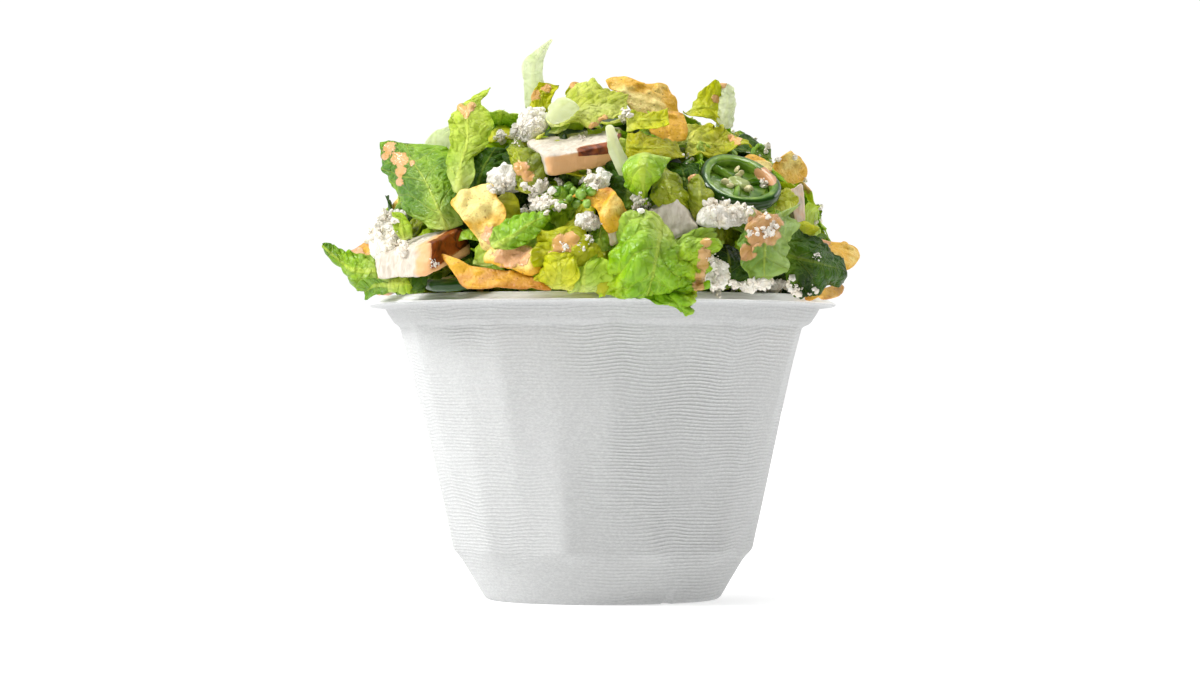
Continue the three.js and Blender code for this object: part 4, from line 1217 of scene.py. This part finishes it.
# The chips that the photo shows: outline in pixels, the plane's middle, and how it lies.
CHIPS = {
    "left": dict(at=(-43, -77, 140), lies=(-16, 22, 100), curl=1.5, toast=0.1,
                 sauce=[(490, 236, 9)], outline=[
        (450, 201), (460, 191), (472, 185), (491, 183), (497, 196), (506, 209), (505, 231),
        (496, 246), (482, 248), (477, 238), (462, 219), (454, 209)]),
    "folded": dict(at=(0.5, -90, 140.5), lies=(0, 30, -32), curl=3, toast=0.62, outline=[
        (572, 192), (590, 190), (609, 188), (617, 197), (625, 206), (633, 216), (622, 224),
        (609, 230), (601, 222), (597, 211), (588, 203), (579, 197)]),
    "rim": dict(at=(-37, -88, 119), lies=(-20, 30, -9), curl=2, toast=0.72, outline=[
        (441, 254), (456, 262), (475, 266), (500, 270), (525, 273), (541, 279), (549, 287),
        (530, 288), (498, 288), (468, 288), (453, 273)]),
    "dressed": dict(at=(-31, -86, 127), lies=(-18, 40, -8), curl=1.5, toast=0.3,
                    sauce=[(508, 254, 14), (520, 256, 10)], outline=[
        (484, 262), (490, 253), (505, 248), (527, 247), (540, 257), (541, 267), (528, 272),
        (508, 269)]),
    "top": dict(at=(15.5, -30, 186), lies=(25, 30, -20), curl=2, toast=0.2, outline=[
        (608, 80), (613, 75), (626, 77), (641, 84), (662, 84), (674, 93), (680, 108), (676, 118),
        (656, 118), (640, 118), (630, 108), (618, 94)]),
    "under_top": dict(at=(24, -50, 171), lies=(24, 30, 80), curl=1, toast=0.42, outline=[
        (650, 114), (668, 110), (683, 111), (688, 124), (687, 138), (678, 145), (662, 142),
        (650, 132)]),
    "right": dict(at=(70, -17, 159.5), lies=(40, 22, 20), curl=1.5, toast=0.34, outline=[
        (771, 171), (778, 159), (788, 153), (795, 156), (800, 164), (808, 172), (806, 179),
        (792, 184), (780, 184)]),
    "behind_slice": dict(at=(57, -33, 160.5), lies=(30, 35, 0), curl=1, toast=0.35, outline=[
        (742, 160), (750, 154), (760, 157), (769, 163), (771, 172), (760, 178), (746, 172)]),
    "far_right": dict(at=(84, -38, 130), lies=(35, 40, -20), curl=1.5, toast=0.3,
                      sauce=[(820, 243, 9)], outline=[
        (810, 236), (828, 241), (845, 243), (858, 247), (860, 256), (853, 267), (841, 270),
        (828, 259)]),
    "low_right": dict(at=(83, -38, 117), lies=(45, 45, 8), curl=1, toast=0.6, outline=[
        (803, 293), (824, 288), (842, 281), (845, 290), (832, 297), (810, 299)]),
    "far_left": dict(at=(-88, -30, 131), lies=(-40, 30, 20), curl=1, toast=0.75,
                     sauce=[(357, 252, 6)], outline=[
        (345, 252), (357, 248), (367, 241), (371, 247), (372, 257), (362, 257)]),
}
# Those that it doesn't show: azimuth, radius and height, tilt and turn, their size, and the curl.
HIDDEN_CHIPS = {
    "rear_right": ((112, 84, 140), (28, 60), (27, 20), 2),
    "rear_rim": ((138, 88, 121), (30, 6), (36, 14), 2),
    "rear_high": ((176, 50, 173), (50, 30), (28, 20), 3),
    "rear_left": ((222, 84, 138), (26, 110), (26, 19), 2),
    "side_left": ((262, 76, 148), (34, 20), (24, 17), 2),
}


def placed(place, lies):
    """Where a hidden topping is and how it lies, from its azimuth, radius and height, and its tilt
    and turn."""
    return around(*place), lying(place[0], *lies)


def make_chips(material):
    """A piece for each chip. A hidden one's outline is a blunt diamond made uneven."""

    def add(name, *facts):
        piece("corn_chip_" + name, [chip(*facts)], material, "fried_chip", "chip_" + name)

    for seed, (name, facts) in enumerate(CHIPS.items()):
        frame_of = lying(*facts["lies"])
        outline = seen_on_plane(facts["outline"], facts["at"], frame_of[2])
        add(name, outline, frame_of, facts["curl"], seed, facts["toast"], facts.get("sauce", ()))
    for seed, (name, (place, lies, size, curl)) in enumerate(HIDDEN_CHIPS.items()):
        middle, frame_of = placed(place, lies)
        turn = np.radians([0, 40, 75, 130, 180, 215, 262, 310])
        blunt = (np.abs(np.cos(turn)) ** 1.5 + np.abs(np.sin(turn)) ** 1.5) ** (-1 / 1.5)
        blunt = blunt * (1 + 0.14 * np.sin(5 * turn + 2 * seed))
        outline = middle + (size[0] / 2 * blunt * np.cos(turn))[:, None] * frame_of[0]
        outline = outline + (size[1] / 2 * blunt * np.sin(turn))[:, None] * frame_of[1]
        add(name, outline, frame_of, curl, seed + 20)


def block(corners, power, seed, size=(60, 96)):
    """A slab between eight corners, given as its front face and its back face clockwise from the
    upper left: a cube with rounded edges, |x|^p + |y|^p + |z|^p = 1, whose points are blended
    between the corners. Returns it and its points in the cube's own frame."""
    ball = globe(*size)
    cube = ball / (np.abs(ball) ** power).sum(1, keepdims=True) ** (1 / power)
    corners = np.asarray(corners, float).reshape(2, 4, 3)
    x, y, z = ((cube[:, k] + 1)[:, None] / 2 for k in range(3))
    faces = [f[0] * (1 - x) * z + f[1] * x * z + f[2] * x * (1 - z) + f[3] * (1 - x) * (1 - z)
             for f in corners]
    points = faces[0] * (1 - y) + faces[1] * y
    quads, triangles = polar_faces(*size)
    slab = Shape(points, quads, triangles)
    slab.push(0.5 * rough(points, 6, seed) + 0.22 * rough(points, 1.8, seed + 1, 2))
    return slab, cube


# The chicken that the photo shows, as the corners of each slice in pixels with their depth.
CHICKEN = {
    "left": dict(sear="right_upper", pink="right", corners=[
        (371, 257, -60), (432, 241, -80), (430, 277, -82), (376, 281, -62),
        (408, 238, -44), (464, 224, -62), (475, 252, -64), (430, 262, -48)]),
    "top": dict(sear="front_right_edge", pink="front", corners=[
        (545, 155, -77), (618, 143, -71), (617, 165, -69), (548, 179, -76),
        (523, 139, -52), (623, 124, -46), (624, 148, -44), (530, 162, -50)]),
    "centre": dict(sear="left_edge", pink="left", corners=[
        (637, 217, -86), (677, 196, -84), (700, 229, -85), (660, 246, -88),
        (640, 214, -73), (676, 194, -71), (697, 227, -72), (660, 246, -76)]),
    "bit": dict(sear="top", pink="all", corners=[
        (607, 228, -90), (622, 219, -89), (622, 240, -89), (610, 248, -90),
        (608, 226, -82), (622, 217, -82), (621, 240, -82), (611, 246, -82)]),
    "right": dict(sear="none", pink="all", corners=[
        (789, 190, -42), (803, 182, -36), (806, 222, -36), (795, 225, -40),
        (786, 192, -34), (800, 184, -28), (802, 222, -28), (791, 224, -32)]),
}
# Slices that it doesn't show: azimuth, radius and height, tilt and turn, and their sizes.
HIDDEN_CHICKEN = {
    "rear": ((194, 81, 142), (32, 12), (37, 20, 11)),
    "rear_left": ((243, 87, 126), (36, -12), (34, 18, 11)),
    "rear_right": ((132, 62, 160), (46, -10), (34, 18, 11)),
}


SLAB_SQUARENESS = 9


def searing(cube, where):
    """How far each point of a slice is skin that met the grill, from the slice's own frame."""
    x, y, z = cube.T
    if where == "right_upper":
        end = smooth(0.86, 0.93, x) * smooth(-1.0, -0.8, y) * smooth(-0.7, -0.3, z - 0.2 * y)
        return end + 0.8 * smooth(0.85, 0.95, z) * smooth(0.55, 0.9, x) * smooth(0.9, 0.6, y)
    if where == "front_right_edge":
        strip = smooth(0.25, 0.45, z + 0.25 * x) * smooth(-0.6, -0.85, y)
        return smooth(-0.2, 0.0, x) * strip + smooth(0.9, 0.97, x)
    if where == "left_edge":
        return smooth(-0.75, -0.95, x) * 0.9
    if where == "top":
        return smooth(0.2, 0.6, z)
    if where == "rim":
        return smooth(0.84, 0.95, z) + 0.7 * smooth(0.9, 0.97, x) * smooth(-0.2, 0.4, z)
    return np.zeros_like(x)


def pinkness(cube, where):
    """How pink the cut meat is at each point of a slice."""
    x, y, z = cube.T
    if where == "right":
        return smooth(0.2, 0.7, x) + smooth(0.9, 1, x)
    if where == "front":
        return smooth(-0.7, -0.95, y) * smooth(1.0, 0.6, z)
    if where == "left":
        return smooth(-0.55, -0.95, x)
    return np.full_like(x, 0.55)


def make_chicken(material):
    """A piece for each slice of chicken."""

    def add(name, corners, sear, pink, seed):
        slab, cube = block(corners, SLAB_SQUARENESS, seed)
        slab.values = {"sear": searing(cube, sear), "pink": pinkness(cube, pink)}
        piece("chicken_slice_" + name, [slab], material, "grilled_chicken", "chicken_" + name)

    for seed, (name, facts) in enumerate(CHICKEN.items()):
        add(name, seen(facts["corners"]), facts["sear"], facts["pink"], seed)
    for seed, (name, (place, lies, size)) in enumerate(HIDDEN_CHICKEN.items()):
        middle, axes = placed(place, lies)
        half = [direction * extent / 2 for direction, extent in zip(axes, size)]
        signs = [(-1, 1), (1, 1), (1, -1), (-1, -1)]
        corners = [middle + sx * half[0] + sz * half[1] + deep * half[2]
                   for deep in (1, -1) for sx, sz in signs]
        add(name, corners, "rim", "right", seed + 9)


def ring_of(frame_of, middle, radius, wall, thick, bulge, seed):
    """A pepper slice's wall: a rounded section carried round a slightly three-sided circle."""
    columns, sides = 120, 20
    turn = np.arange(columns)[None, :] * 2 * np.pi / columns
    section = np.arange(sides)[:, None] * 2 * np.pi / sides
    c, s = np.cos(section), np.sin(section)
    across = np.sign(c) * np.abs(c) ** 0.55
    high = np.sign(s) * np.abs(s) ** 0.55
    width = wall * (1 + 0.2 * np.sin(turn + seed))
    reach = radius * (1 + 0.03 * np.cos(3 * turn + seed)) - width / 2
    reach = reach + width / 2 * across + bulge * np.maximum(across, 0) * (1 - high**2)
    local = [reach * np.cos(turn), reach * np.sin(turn), thick / 2 * high + 0 * turn]
    points = middle + sum(l[..., None] * d for l, d in zip(local, frame_of))
    shape = Shape(points.reshape(-1, 3), grid_faces(sides, columns, True, True))
    skin = smooth(0.2, 0.75, across + 0 * turn).ravel()
    shape.values = {"skin": skin, "kernel": np.zeros_like(skin)}
    return shape.push(0.12 * noise(shape.points, 3, seed))


def lump(middle, half, frame_of, seed, uneven, size=(20, 28), grain=3.0, **values):
    """A rounded lump: a ball stretched to its half sizes, made uneven by noise."""
    ball = globe(*size)
    swell = 1 + uneven * rough(ball * 10, grain * 3, seed)
    local = ball * swell[:, None] * half
    points = np.asarray(middle) + sum(local[:, k : k + 1] * frame_of[k] for k in range(3))
    spread = {key: np.full(len(points), float(value)) for key, value in values.items()}
    return Shape(points, *polar_faces(*size), **spread)


# Pepper slices: middle, how they lie, radius and thickness, and whether flesh closes the chambers.
PEPPERS = {
    "right": ((48.5, -63.5, 151.5), (20, 50, -22), 14.3, 5.2, True),
    "behind": ((40, -58.5, 152.5), (20, 48, -22), 13.3, 4.6, True),
    "rim_left": ((-50, -62, 117.4), (-36, 76, 0), 12.8, 4.4, False),
}
PEPPER_SEED = (1.5, 1.2, 0.55)
PEPPER_DRESSING = [(764, 175, 7), (771, 180, 6), (758, 172, 4)]
# Slices that it doesn't show: azimuth, radius and height, tilt and turn, radius and thickness.
HIDDEN_PEPPERS = {
    "rear_low": ((167, 88, 122), (34, 0), 13.0, 4.6),
    "rear_high": ((232, 64, 161), (48, 0), 12.8, 4.6),
}


def pepper_slice(name, middle, frame_of, radius, thick, floored, seed, material):
    """A ring of wall, three webs to a seed-bearing heart, and seeds on it."""
    random = np.random.default_rng(40 + seed)
    lengthwise, crosswise, out = frame_of
    shapes = [ring_of(frame_of, middle, radius, radius * 0.23, thick, 0.8, seed)]
    half = (radius * 0.3, radius * 0.26, thick * 0.42)
    heart = lump(middle, half, frame_of, seed, 0.25, skin=0.05, kernel=0.35)
    shapes.append(heart)
    for k in range(3):
        turn = math.radians(30 + 120 * k)
        along = lengthwise * math.cos(turn) + crosswise * math.sin(turn)
        web_frame = (along, np.cross(out, along), out)
        place = middle + along * radius * 0.52
        half = (radius * 0.34, radius * 0.09, thick * 0.36)
        shapes.append(lump(place, half, web_frame, seed + k, 0.2, skin=0.12, kernel=0))
        for s in range(3):
            angle = turn + random.uniform(0.5, 1.6)
            spot = lengthwise * math.cos(angle) + crosswise * math.sin(angle)
            place = middle + spot * radius * random.uniform(0.28, 0.5)
            place = place + out * random.uniform(0, thick * 0.35)
            turned = lying(*random.uniform(-60, 60, 3))
            shapes.append(lump(place, PEPPER_SEED, turned, s, 0.1, (8, 12), skin=0, kernel=1))
    if floored:
        half = (radius * 0.82, radius * 0.82, thick * 0.16)
        floor = lump(middle - out * thick * 0.2, half, frame_of, seed + 6, 0.12, (30, 60), 1.5,
                     skin=0.25, kernel=0)
        floor.values["skin"] = 0.15 + 0.35 * smooth(-0.2, 0.4, noise(floor.points, 5, seed))
        shapes.append(floor)
    for shape in shapes:
        shape.values["sauce"] = dressing_on(shape.points, PEPPER_DRESSING)
    piece("pepper_slice_" + name, shapes, material, "green_pepper", "jalapeno_" + name)


def make_peppers(material):
    """A piece for each slice of pepper. No flesh closes the chambers of the hidden ones."""
    for seed, (name, (middle, lies, radius, thick, floored)) in enumerate(PEPPERS.items()):
        pepper_slice(name, np.array(middle), lying(*lies), radius, thick, floored, seed, material)
    for seed, (name, (place, lies, radius, thick)) in enumerate(HIDDEN_PEPPERS.items()):
        pepper_slice(name, *placed(place, lies), radius, thick, False, seed + 5, material)


# Lumps of cheese: middle, facing, tilt and turn, and sizes.
CHEESES = {
    "left": ((-33.5, -68, 152), (-20, 20, 0), (14, 10, 9)),
    "middle": ((-1, -78, 151.2), (0, 20, 0), (9.5, 7.5, 7)),
    "right": ((43.5, -79, 139), (28, 20, 12), (21, 10, 9)),
    "rim": ((40.5, -81, 118.8), (25, 5, 0), (13, 11, 9)),
    "low": ((-6, -86, 136.6), (0, 20, 0), (8, 6, 6)),
    "top": ((-26.5, -46, 173), (-20, 30, 60), (14, 11, 9)),
    "big_left": ((-77, -46, 134), (-50, 15, 70), (18, 16, 12)),
    "spill": ((54, -71, 117), (38, 10, 0), (11, 6.5, 7)),
}
# Lumps that it doesn't show: azimuth, radius and height, tilt and turn, and sizes.
HIDDEN_CHEESES = {
    "rear_1": ((100, 88, 124), (15, 20), (16, 12, 10)),
    "rear_2": ((150, 76, 150), (25, 0), (15, 11, 9)),
    "rear_3": ((206, 60, 166), (35, 40), (14, 10, 9)),
    "rear_4": ((212, 89, 121), (15, 10), (17, 12, 10)),
    "rear_5": ((282, 72, 156), (25, 0), (14, 11, 9)),
}


LUMP_BREAKS = 8
LUMP_GRAINS = 44
LUMP_SHARE = 0.46


def broken(ball, random, count):
    """How far out a broken lump's surface is in each direction of a ball: as far as the nearest of
    a few random flat breaks."""
    breaks = unit(random.normal(size=(count, 3)))
    depth = random.uniform(0.62, 0.98, count)
    return np.minimum(1 / np.maximum(ball @ breaks.T / depth, 1e-3), 1.25).min(1)


def cheese_lump(name, middle, frame_of, size, seed, material):
    """A crumbling lump: a broken block, very uneven, with angular grains half sunk in it."""
    random = np.random.default_rng(60 + seed)
    rings = (48, 72)
    ball = globe(*rings)
    local = ball * broken(ball, random, LUMP_BREAKS)[:, None] * np.array(size) * LUMP_SHARE
    axes = np.array(frame_of)
    points = middle + local @ axes
    body = Shape(points, *polar_faces(*rings), stain=np.zeros(len(points)))
    body.push(0.45 * rough(points, 3.4, seed) + 0.4 * np.abs(noise(points, 1.0, seed + 2)))
    grains = [body]
    rings = (5, 8)
    small = globe(*rings)
    for direction in unit(random.normal(size=(LUMP_GRAINS, 3))):
        # The block's own breaks again, from the same seed, so that the grain sits on its surface.
        reach = broken(direction[None], np.random.default_rng(60 + seed), LUMP_BREAKS)[0]
        place = middle + (direction * reach * np.array(size) * LUMP_SHARE) @ axes
        half = 1.3 * random.uniform(0.5, 1.0) ** 2 * random.uniform(0.6, 1.3, 3)
        turned = np.array(lying(*random.uniform(-90, 90, 3)))
        shape = (small * broken(small, random, 6)[:, None] * half) @ turned + place
        grains.append(Shape(shape, *polar_faces(*rings), stain=np.zeros(len(shape))))
    piece("cheese_lump_" + name, grains, material, "white_cheese", "cheese_" + name,
          smooth_faces=False)


def make_cheeses(material):
    """A piece for each lump of cheese."""
    for seed, (name, (middle, lies, size)) in enumerate(CHEESES.items()):
        cheese_lump(name, np.array(middle), lying(*lies), size, seed, material)
    for seed, (name, (place, lies, size)) in enumerate(HIDDEN_CHEESES.items()):
        cheese_lump(name, *placed(place, lies), size, seed + 20, material)


# Crumbs of cheese in the photo: the middle of a patch and its spread in pixels, how many, and the
# largest size in millimetres.
CRUMB_PATCHES = [
    ((541, 198), (18, 14), 110, 2.6),
    ((548, 186), (14, 8), 40, 2.4),
    ((505, 186), (14, 9), 30, 2.4),
    ((528, 124), (18, 16), 90, 3.4),
    ((505, 140), (10, 10), 26, 2.6),
    ((590, 184), (14, 8), 30, 2.2),
    ((732, 208), (22, 9), 60, 2.8),
    ((765, 285), (28, 6), 190, 2.6),
    ((720, 286), (14, 5), 40, 2.4),
    ((768, 232), (13, 17), 44, 1.9),
    ((388, 240), (18, 18), 70, 3.0),
    ((390, 216), (9, 7), 20, 2.6),
    ((622, 118), (7, 5), 18, 2.8),
    ((640, 205), (12, 7), 44, 2.2),
    ((588, 222), (12, 8), 36, 2.2),
    ((580, 240), (22, 16), 24, 1.5),
    ((752, 188), (26, 8), 12, 1.8),
    ((712, 262), (8, 10), 24, 2.4),
    ((600, 142), (20, 8), 10, 1.2),
    ((660, 190), (60, 40), 12, 1.1),
    ((450, 250), (40, 20), 12, 1.1),
    ((820, 250), (20, 16), 10, 1.1),
]


def carrier():
    """A search tree of every surface made so far, on which small things are laid."""
    points = np.vstack([s.points for s in MADE])
    offsets = np.cumsum([0] + [len(s.points) for s in MADE])
    halves = []
    for shape, offset in zip(MADE, offsets):
        corners = (shape.quads[:, [0, 1, 2]], shape.quads[:, [0, 2, 3]], shape.triangles)
        halves += [three + offset for three in corners]
    return BVHTree.FromPolygons(points.tolist(), np.vstack(halves).tolist(), all_triangles=True)


def landed(tree, starts, directions):
    """Where things sent from the starts along the directions land, and the surface's direction
    there."""
    places, normals = [], []
    for start, direction in zip(starts, directions):
        place, normal, _, _ = tree.ray_cast(Vector(start), Vector(direction))
        if place is not None:
            places.append(place)
            normals.append(normal if normal.dot(Vector(direction)) < 0 else -normal)
    return np.array(places), np.array(normals)


def landed_in_view(tree, pixels):
    """Landings of things sent from the camera through pixels."""
    starts = np.repeat([CAMERA_PLACE], len(pixels), 0)
    return landed(tree, starts, unit(rays(pixels)))


def landed_around(tree, azimuths, heights):
    """Landings of things sent level and inwards at azimuths and heights."""
    starts = around(azimuths, 130.0, heights + 30)
    targets = around(azimuths, 20.0, heights - 12)
    return landed(tree, starts, unit(targets - starts))


def crumbs_of(places, sizes, seed, stain):
    """Many small angular lumps at once: one coarse ball, stretched, turned and made uneven for
    each place."""
    random = np.random.default_rng(seed)
    rings = (3, 6)
    ball = globe(*rings)
    count = len(places)
    stretch = random.uniform(0.6, 1.3, (count, 1, 3))
    uneven = random.uniform(0.55, 1.25, (count, len(ball), 1))
    turned, _ = np.linalg.qr(random.normal(size=(count, 3, 3)))
    turned[:, 0] *= np.sign(np.linalg.det(turned))[:, None]
    points = places[:, None, :] + (ball * stretch * uneven) @ turned * sizes[:, None, None] / 2
    quads, triangles = polar_faces(*rings)
    offset = (np.arange(count) * len(ball))[:, None, None]
    return Shape(points.reshape(-1, 3), (quads + offset).reshape(-1, 4),
                 (triangles + offset).reshape(-1, 3),
                 stain=np.repeat(random.uniform(0, stain, count), len(ball)))


BACK_CLUMPS = 34
CLUMP_SPREAD = 2.4


def make_crumbs(material, tree):
    """The crumbs in the photo's patches, in clumps of about seven, and clumps round the back."""
    random = np.random.default_rng(21)
    places, sizes = [], []

    def scatter(landings, largest):
        place, normal = landings
        size = largest * random.uniform(0.42, 1.05, len(place)) ** 2.4
        places.append(place + normal * size[:, None] * 0.25)
        sizes.append(size)

    for (x, y), (wide, high), count, largest in CRUMB_PATCHES:
        clumps = random.normal(size=(max(count // 7, 1), 2)) * (wide / 2, high / 2) + (x, y)
        pixels = clumps[random.integers(0, len(clumps), 2 * count)]
        pixels = pixels + random.normal(0, CLUMP_SPREAD, (2 * count, 2))
        scatter(landed_in_view(tree, pixels), largest)
    for _ in range(BACK_CLUMPS):
        azimuth, height = random.uniform(*BACK), random.uniform(120, 184)
        count = int(random.integers(8, 30))
        azimuths = azimuth + random.normal(0, 5, count)
        heights = height + random.normal(0, 4, count)
        scatter(landed_around(tree, azimuths, heights), random.uniform(1.6, 2.8))
    made = crumbs_of(np.vstack(places), np.concatenate(sizes), 3, 0.12)
    piece("cheese_crumbs", [made], material, "white_cheese", smooth_faces=False)


# Green beads among the crumbs: their pixels.
BEADS = [(563, 180), (570, 177), (577, 183), (567, 189), (574, 193), (582, 196), (569, 200),
         (578, 204), (586, 187), (592, 193), (557, 193), (588, 203), (561, 204)]
BACK_BEADS = (8, 4)


def make_beads(material, tree):
    """The beads in view, and groups of them round the back."""
    random = np.random.default_rng(8)
    shapes = []
    view, view_normals = landed_in_view(tree, np.array(BEADS, float))
    groups = BACK_BEADS[0]
    azimuths = random.uniform(*BACK, groups)[:, None] + random.normal(0, 3, BACK_BEADS)
    heights = random.uniform(120, 176, groups)[:, None] + random.normal(0, 3, BACK_BEADS)
    hidden, hidden_normals = landed_around(tree, azimuths.ravel(), heights.ravel())
    places = np.vstack([view, hidden])
    normals = np.vstack([view_normals, hidden_normals])
    for seed, (place, normal) in enumerate(zip(places, normals)):
        half = random.uniform(1.5, 2.2) * random.uniform(0.82, 1.12, 3)
        frame_of = lying(*random.uniform(-60, 60, 3))
        shapes.append(lump(place + normal * half[0] * 0.5, half, frame_of, seed, 0.2, (14, 20)))
    piece("green_beads", shapes, material, "salad_leaves")


# ---- the whole ---------------------------------------------------------------------------------
FLOOR_HALF = 30.0
FLOOR_GREY = (0.6, 0.6, 0.6)
FLOOR_GLOW = {"near": (0.62, 0.62, 0.62), "far": (1.0, 1.0, 1.0), "depths": (500.0, 3000.0),
              "strength": 0.86}
BRIGHT_SKY = (-0.1, 0.8, 0.6)
SKY_STRENGTH = {"From Min": 0.0, "From Max": 0.74, "To Min": 0.04, "To Max": 1.03}
# Soft lights, in metres: place, the height they look at, size and watts.
LIGHTS = {
    "key": ((-1.35, -0.35, 1.2), 0.14, 0.8, 30),
    "front_light": ((-0.1, -1.0, 1.6), 0.13, 0.35, 5),
    "side_light": ((1.1, 0.5, 0.6), 0.12, 0.6, 3),
    "top_light": ((0.25, 0.0, 1.5), 0.14, 0.5, 8),
}


def make_floor():
    """A pale floor that glows more the deeper it lies, and so melts into the backdrop."""
    mesh = bpy.data.meshes.new("floor")
    corners = [(-1, -1), (1, -1), (1, 1), (-1, 1)]
    mesh.from_pydata([(x * FLOOR_HALF, y * FLOOR_HALF, 0) for x, y in corners], [], [(0, 1, 2, 3)])
    floor = bpy.data.objects.new("floor", mesh)
    bpy.context.scene.collection.objects.link(floor)
    look = Look("floor")
    depth = look.node("ShaderNodeSeparateXYZ", {}, {0: look.place()}, out="Y")
    glow = look.mix(depth.ramp(*FLOOR_GLOW["depths"]), FLOOR_GLOW["near"], FLOOR_GLOW["far"])
    lit = {"Emission Color": glow, "Emission Strength": FLOOR_GLOW["strength"]}
    mesh.materials.append(look.finish(FLOOR_GREY, 0.9, **lit))


def make_sky():
    """A world that is bright behind and above, and dim in front and below."""
    look = Look("studio", bpy.data.worlds)
    bpy.context.scene.world = look.owner
    direction = look.node("ShaderNodeTexCoord", out="Generated")
    settings, sockets = {"operation": "DOT_PRODUCT"}, {0: direction, 1: BRIGHT_SKY}
    towards_sky = look.node("ShaderNodeVectorMath", settings, sockets, "Value")
    settings, sockets = {"interpolation_type": "SMOOTHSTEP"}, {"Value": towards_sky, **SKY_STRENGTH}
    strength = look.node("ShaderNodeMapRange", settings, sockets)
    sockets = {"Color": (1.0, 1.0, 1.0), "Strength": strength}
    look.end("ShaderNodeOutputWorld", look.node("ShaderNodeBackground", {}, sockets))


def make_lights():
    """A large soft light from the upper left, and weaker ones from the front, right and above."""
    for name, (place, height, size, watts) in LIGHTS.items():
        data = bpy.data.lights.new(name, "AREA")
        data.shape, data.size, data.energy = "DISK", size, watts
        lamp = bpy.data.objects.new(name, data)
        bpy.context.scene.collection.objects.link(lamp)
        lamp.location = place
        x, y, z = np.array([0, 0, height]) - place
        lamp.rotation_euler = (math.atan2(math.hypot(x, y), -z), 0, math.atan2(y, x) - math.pi / 2)


# Each leaf finish: its name, the colour and share of the light that shines through it, its
# roughness, how much its veins take their own colour, and its shine.
LEAF_FINISHES = {
    "bright": ("bright_leaves", "bce404", 0.3, 0.24, 0.5, 0.42),
    "pale": ("pale_leaves", "e4f038", 0.38, 0.28, 0.55, 0.3),
    "ghost": ("sheer_leaf", "fcffee", 0.74, 0.4, 0.5, 0.25),
    "dark": ("dark_leaves", "56900c", 0.1, 0.3, 0.12, 0.12),
}


def make_leaves():
    """The photo's leaves as one piece for each finish, and the loose ones as one for each kind."""
    looks = {finish: leaf_look(name, colour(glow), *shares)
             for finish, (name, glow, *shares) in LEAF_FINISHES.items()}
    front_leaves = photo_leaves()
    other_leaves = loose_leaves()
    bits = front_bits()
    for finish, material in looks.items():
        name = LEAF_FINISHES[finish][0]
        piece(name, front_leaves[finish], material, "salad_leaves", "salad_heap")
    for kind, (finish, *_) in LEAF_KINDS.items():
        leaves = other_leaves[kind] + bits[kind]
        if leaves:
            piece("loose_" + kind, leaves, looks[finish], "salad_leaves", "salad_heap")


bpy.context.scene.view_settings.view_transform = "Standard"
make_camera()
make_floor()
make_sky()
make_lights()
make_cup(fibre_look())
make_core(core_look())
make_leaves()
make_chips(chip_look())
make_chicken(chicken_look())
make_peppers(pepper_look())
cheese = cheese_look()
make_cheeses(cheese)
make_beads(seed_look(), carrier())
make_crumbs(cheese, carrier())
